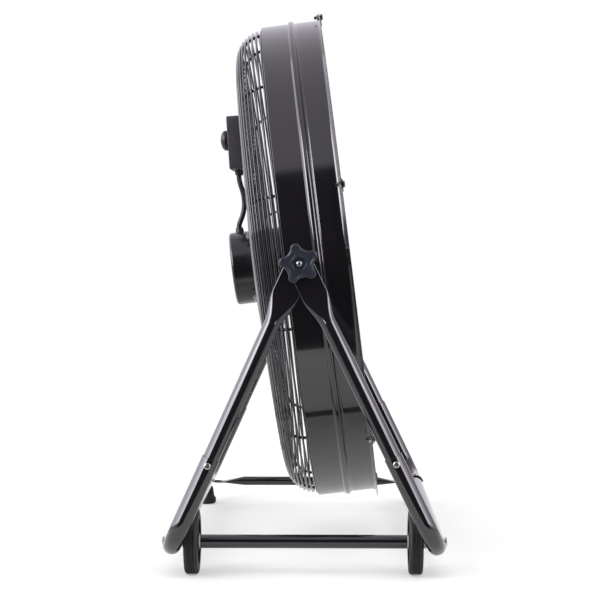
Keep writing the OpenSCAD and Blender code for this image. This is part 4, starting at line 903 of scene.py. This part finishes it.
class DRUMFAN_OT_motor_can(Operator):
    """Rear can of the motor: a drawn profile with a pressed ring in its back, revolved about the shaft, and the lugs
    that its bolts pass through."""
    bl_idname = "drumfan.motor_can"
    bl_label = "Motor can"

    def execute(self, context):
        back, r, wall = MOTOR_BACK, MOTOR_R, MOTOR_WALL
        line = round_corner_line([(back, 0), (back, 15), (back + 0.7, 16.5), (back + 0.7, 31), (back, 32.5),
                                  (back, r - 2.2), (back + 2.2, r), (SHELL_SPLIT, r), (SHELL_SPLIT, r - wall),
                                  (back + wall, r - wall), (back + wall, 0)], 1.2, 6)
        grids = [surface(head_place(turned(line, 128)))]
        lug = rounded_slab(15, 19, 5, 0, 4, 0.4, 0.4)
        for angle in np.radians([45, 135, 225, 315]):
            out = np.array([0, -math.sin(angle), math.cos(angle)])
            side = np.array([0, math.cos(angle), math.sin(angle)])
            place = (PLATE_X + SEAT + lug[..., 2:]) * np.array([1.0, 0, 0]) + (r + 8 + lug[..., 1:2]) * out
            grids.append(surface(head_place(place + lug[..., :1] * side)))
        make_piece("motor_drawn_can", grids, "motor", "head", ["motor_rear_shell"], 40)
        return {"FINISHED"}


class DRUMFAN_OT_lead(Operator):
    """Sheathed lead from the control box to the motor: a circle carried along two cubic curves,
    a (1-t)^3 + 3 b t (1-t)^2 + 3 c t^2 (1-t) + d t^3, that meet where it lies on the guard."""
    bl_idname = "drumfan.lead"
    bl_label = "Motor lead"

    def execute(self, context):
        def box_point(u, w):
            return np.array([skin_x(BOX_R, 0) + u * SLOPE_SIN - w * SLOPE_COS,
                             BOX_R + u * SLOPE_COS + w * SLOPE_SIN])

        def cubic(a, b, c, d, count):
            t = np.linspace(0, 1, count + 1)[1:, None]
            return a * (1 - t) ** 3 + 3 * b * t * (1 - t) ** 2 + 3 * c * t * t * (1 - t) + d * t ** 3

        top, low = box_point(-BOX_H / 2 - GLAND_LEN - 1, GLAND_Z), np.array([MOTOR_GLAND_X, MOTOR_R + GLAND_LEN])
        mid_z = low[1] + (top[1] - low[1]) * 0.55
        mid = np.array([skin_x(mid_z, -LEAD_R - LEAD_GAP), mid_z])
        hang, drop = (top[1] - mid_z) * 0.45, (mid_z - low[1]) * 0.6
        down = np.array([SLOPE_SIN, SLOPE_COS])
        route = np.concatenate([[box_point(-BOX_H / 2 + GLAND_LEN / 2, GLAND_Z), top],
                                cubic(top, top - hang * down, mid + [0, hang], mid, 24),
                                cubic(mid, mid - [0, drop], low + [0, drop * 0.35], low, 28),
                                [[MOTOR_GLAND_X, MOTOR_R + 0.5]]])
        path = np.stack([route[:, 0], 0 * route[:, 0], route[:, 1]], -1)
        make_piece("lead_sheathed", [surface(head_place(tube(path, LEAD_R, (0, 1.0, 0), 24)))], "sheath", "head",
                   ["motor_lead"])
        return {"FINISHED"}


# Stage

def studio_world():
    """White for the camera. In reflections a pale violet grey room, dark round the camera, with a tall bright panel on
    each side that fades towards the back as a exp(-b y)."""
    world = bpy.data.worlds.new("studio")
    bpy.context.scene.world = world
    world.use_nodes = True
    tree = world.node_tree
    tree.nodes.clear()
    path = add_node(tree, "LightPath")
    direction = add_node(tree, "TexCoord").outputs["Generated"]
    x, y, z = add_node(tree, "SeparateXYZ", {"Vector": direction}).outputs

    def band(value, start, end, low=0.0, high=1.0):
        return add_node(tree, "MapRange", {"Value": value, "From Min": start, "From Max": end, "To Min": low,
                                                     "To Max": high}, interpolation_type="SMOOTHSTEP").outputs[0]

    def math_of(operation, *values):
        return add_node(tree, "Math", dict(enumerate(values)), operation=operation).outputs[0]

    height = math_of("MULTIPLY", band(z, 0.06, 0.09), band(z, 0.8, 0.6))
    room = band(y, -0.7, -0.76, 0.74, 0.004)
    for side, fade, power in ((band(x, -0.54, -0.6), -1.15, 1.25), (band(x, 0.57, 0.63), -1.9, 0.47)):
        panel = math_of("EXPONENT", math_of("MULTIPLY_ADD", y, fade, power))
        room = math_of("MAXIMUM", room, math_of("MULTIPLY", panel, math_of("MULTIPLY", height, side)))
    room = add_node(tree, "Background", {"Color": (0.98, 0.94, 1.04, 1), "Strength": room})
    plain = add_node(tree, "Background", {"Color": (1, 1, 1, 1), "Strength": 0.9})
    white = add_node(tree, "Background", {"Color": (1, 1, 1, 1), "Strength": 1.0})
    glossy = add_node(tree, "MixShader", {0: path.outputs["Is Glossy Ray"], 1: plain.outputs[0],
                                                    2: room.outputs[0]})
    seen = add_node(tree, "MixShader", {0: path.outputs["Is Camera Ray"], 1: glossy.outputs[0],
                                                  2: white.outputs[0]})
    add_node(tree, "OutputWorld", {"Surface": seen.outputs[0]})


def white_floor():
    """Paper floor that ends in front of the fan, as a table does. What is seen of it, straight or in a reflection, gets
    a little light of its own, so that it is white but for the fan's soft shadow."""
    material, tree, shader, _ = start_material("paper_white_floor", Base_Color=(0.8, 0.8, 0.8, 1), Roughness=0.9)
    path = add_node(tree, "LightPath")
    glow = 0.0
    seen, mirrored = 0.32, 0.06
    for ray, share in (("Is Camera Ray", seen), ("Is Glossy Ray", mirrored), ("Is Transmission Ray", seen)):
        glow = add_node(tree, "Math", {0: path.outputs[ray], 1: share, 2: glow},
                        operation="MULTIPLY_ADD").outputs[0]
    tree.links.new(glow, shader.inputs["Emission Strength"])
    shader.inputs["Emission Color"].default_value = (1, 1, 1, 1)
    mesh = bpy.data.meshes.new("studio_floor")
    corners = [(-2.5, -0.62), (2.5, -0.62), (2.5, 3.0), (-2.5, 3.0)]
    mesh.from_pydata([(x, y, -0.0004) for x, y in corners], [], [(0, 1, 2, 3)])
    mesh.materials.append(material)
    floor = new_object("studio_floor", mesh)


def soft_box(name, place, target, width, height, watts):
    light = bpy.data.lights.new(name, "AREA")
    light.shape, light.size, light.size_y, light.energy = "RECTANGLE", width, height, watts
    lamp = new_object(name, light)
    lamp.location = place
    lamp.rotation_euler = (Vector(target) - Vector(place)).to_track_quat("-Z", "Y").to_euler()


class DRUMFAN_OT_stage(Operator):
    """Pale floor, soft lights and the camera at the photograph's angle."""
    bl_idname = "drumfan.stage"
    bl_label = "Stage"

    def execute(self, context):
        white_floor()
        studio_world()
        for side, sign, width, watts in (("left", -1, 1.2, 30), ("right", 1, 0.3, 15)):
            soft_box(side + "_soft_box", (sign * LAMP_X, LAMP_Y, LAMP_Z), LAMP_TARGET, width, LAMP_TALL, watts)
        data = bpy.data.cameras.new("studio_camera")
        data.sensor_width, data.lens = SENSOR_MM, LENS_MM
        camera = new_object("studio_camera", data)
        camera.location = CAMERA_PLACE
        look = Vector((-SHIFT_PX[0] / FOCAL_PX, 1.0, -SHIFT_PX[1] / FOCAL_PX))
        camera.rotation_euler = look.to_track_quat("-Z", "Y").to_euler()
        context.scene.camera = camera
        context.scene.view_settings.view_transform = "Standard"
        return {"FINISHED"}


class DRUMFAN_PT_panel(Panel):
    """Lists the fan's pieces in the sidebar."""
    bl_label = "Drum fan"
    bl_idname = "DRUMFAN_PT_panel"
    bl_space_type = "VIEW_3D"
    bl_region_type = "UI"
    bl_category = "Drum fan"

    def draw(self, context):
        layout = self.layout
        for group in (context.scene.drum_fan_sizes, context.scene.drum_fan_colours):
            for name in type(group).__annotations__:
                layout.prop(group, name)
        for operator in PIECES:
            layout.operator(operator.bl_idname)


PIECES = (DRUMFAN_OT_frame_finishes, DRUMFAN_OT_drum, DRUMFAN_OT_rear_guard, DRUMFAN_OT_front_guard, DRUMFAN_OT_legs,
          DRUMFAN_OT_base_tubes, DRUMFAN_OT_stand_screws, DRUMFAN_OT_star_knobs, DRUMFAN_OT_tilt_bolts,
          DRUMFAN_OT_tyres, DRUMFAN_OT_feet, DRUMFAN_OT_control_box, DRUMFAN_OT_motor_can, DRUMFAN_OT_lead,
          DRUMFAN_OT_stage)
CLASSES = (DrumFanSizes, DrumFanColours, *PIECES, DRUMFAN_PT_panel)


def register():
    for cls in CLASSES:
        bpy.utils.register_class(cls)
    bpy.types.Scene.drum_fan_sizes = PointerProperty(type=DrumFanSizes)
    bpy.types.Scene.drum_fan_colours = PointerProperty(type=DrumFanColours)


def unregister():
    del bpy.types.Scene.drum_fan_colours
    del bpy.types.Scene.drum_fan_sizes
    for cls in reversed(CLASSES):
        bpy.utils.unregister_class(cls)


def main():
    register()
    for operator in PIECES:
        group, name = operator.bl_idname.split(".")
        getattr(getattr(bpy.ops, group), name)()


if __name__ == "__main__":
    main()
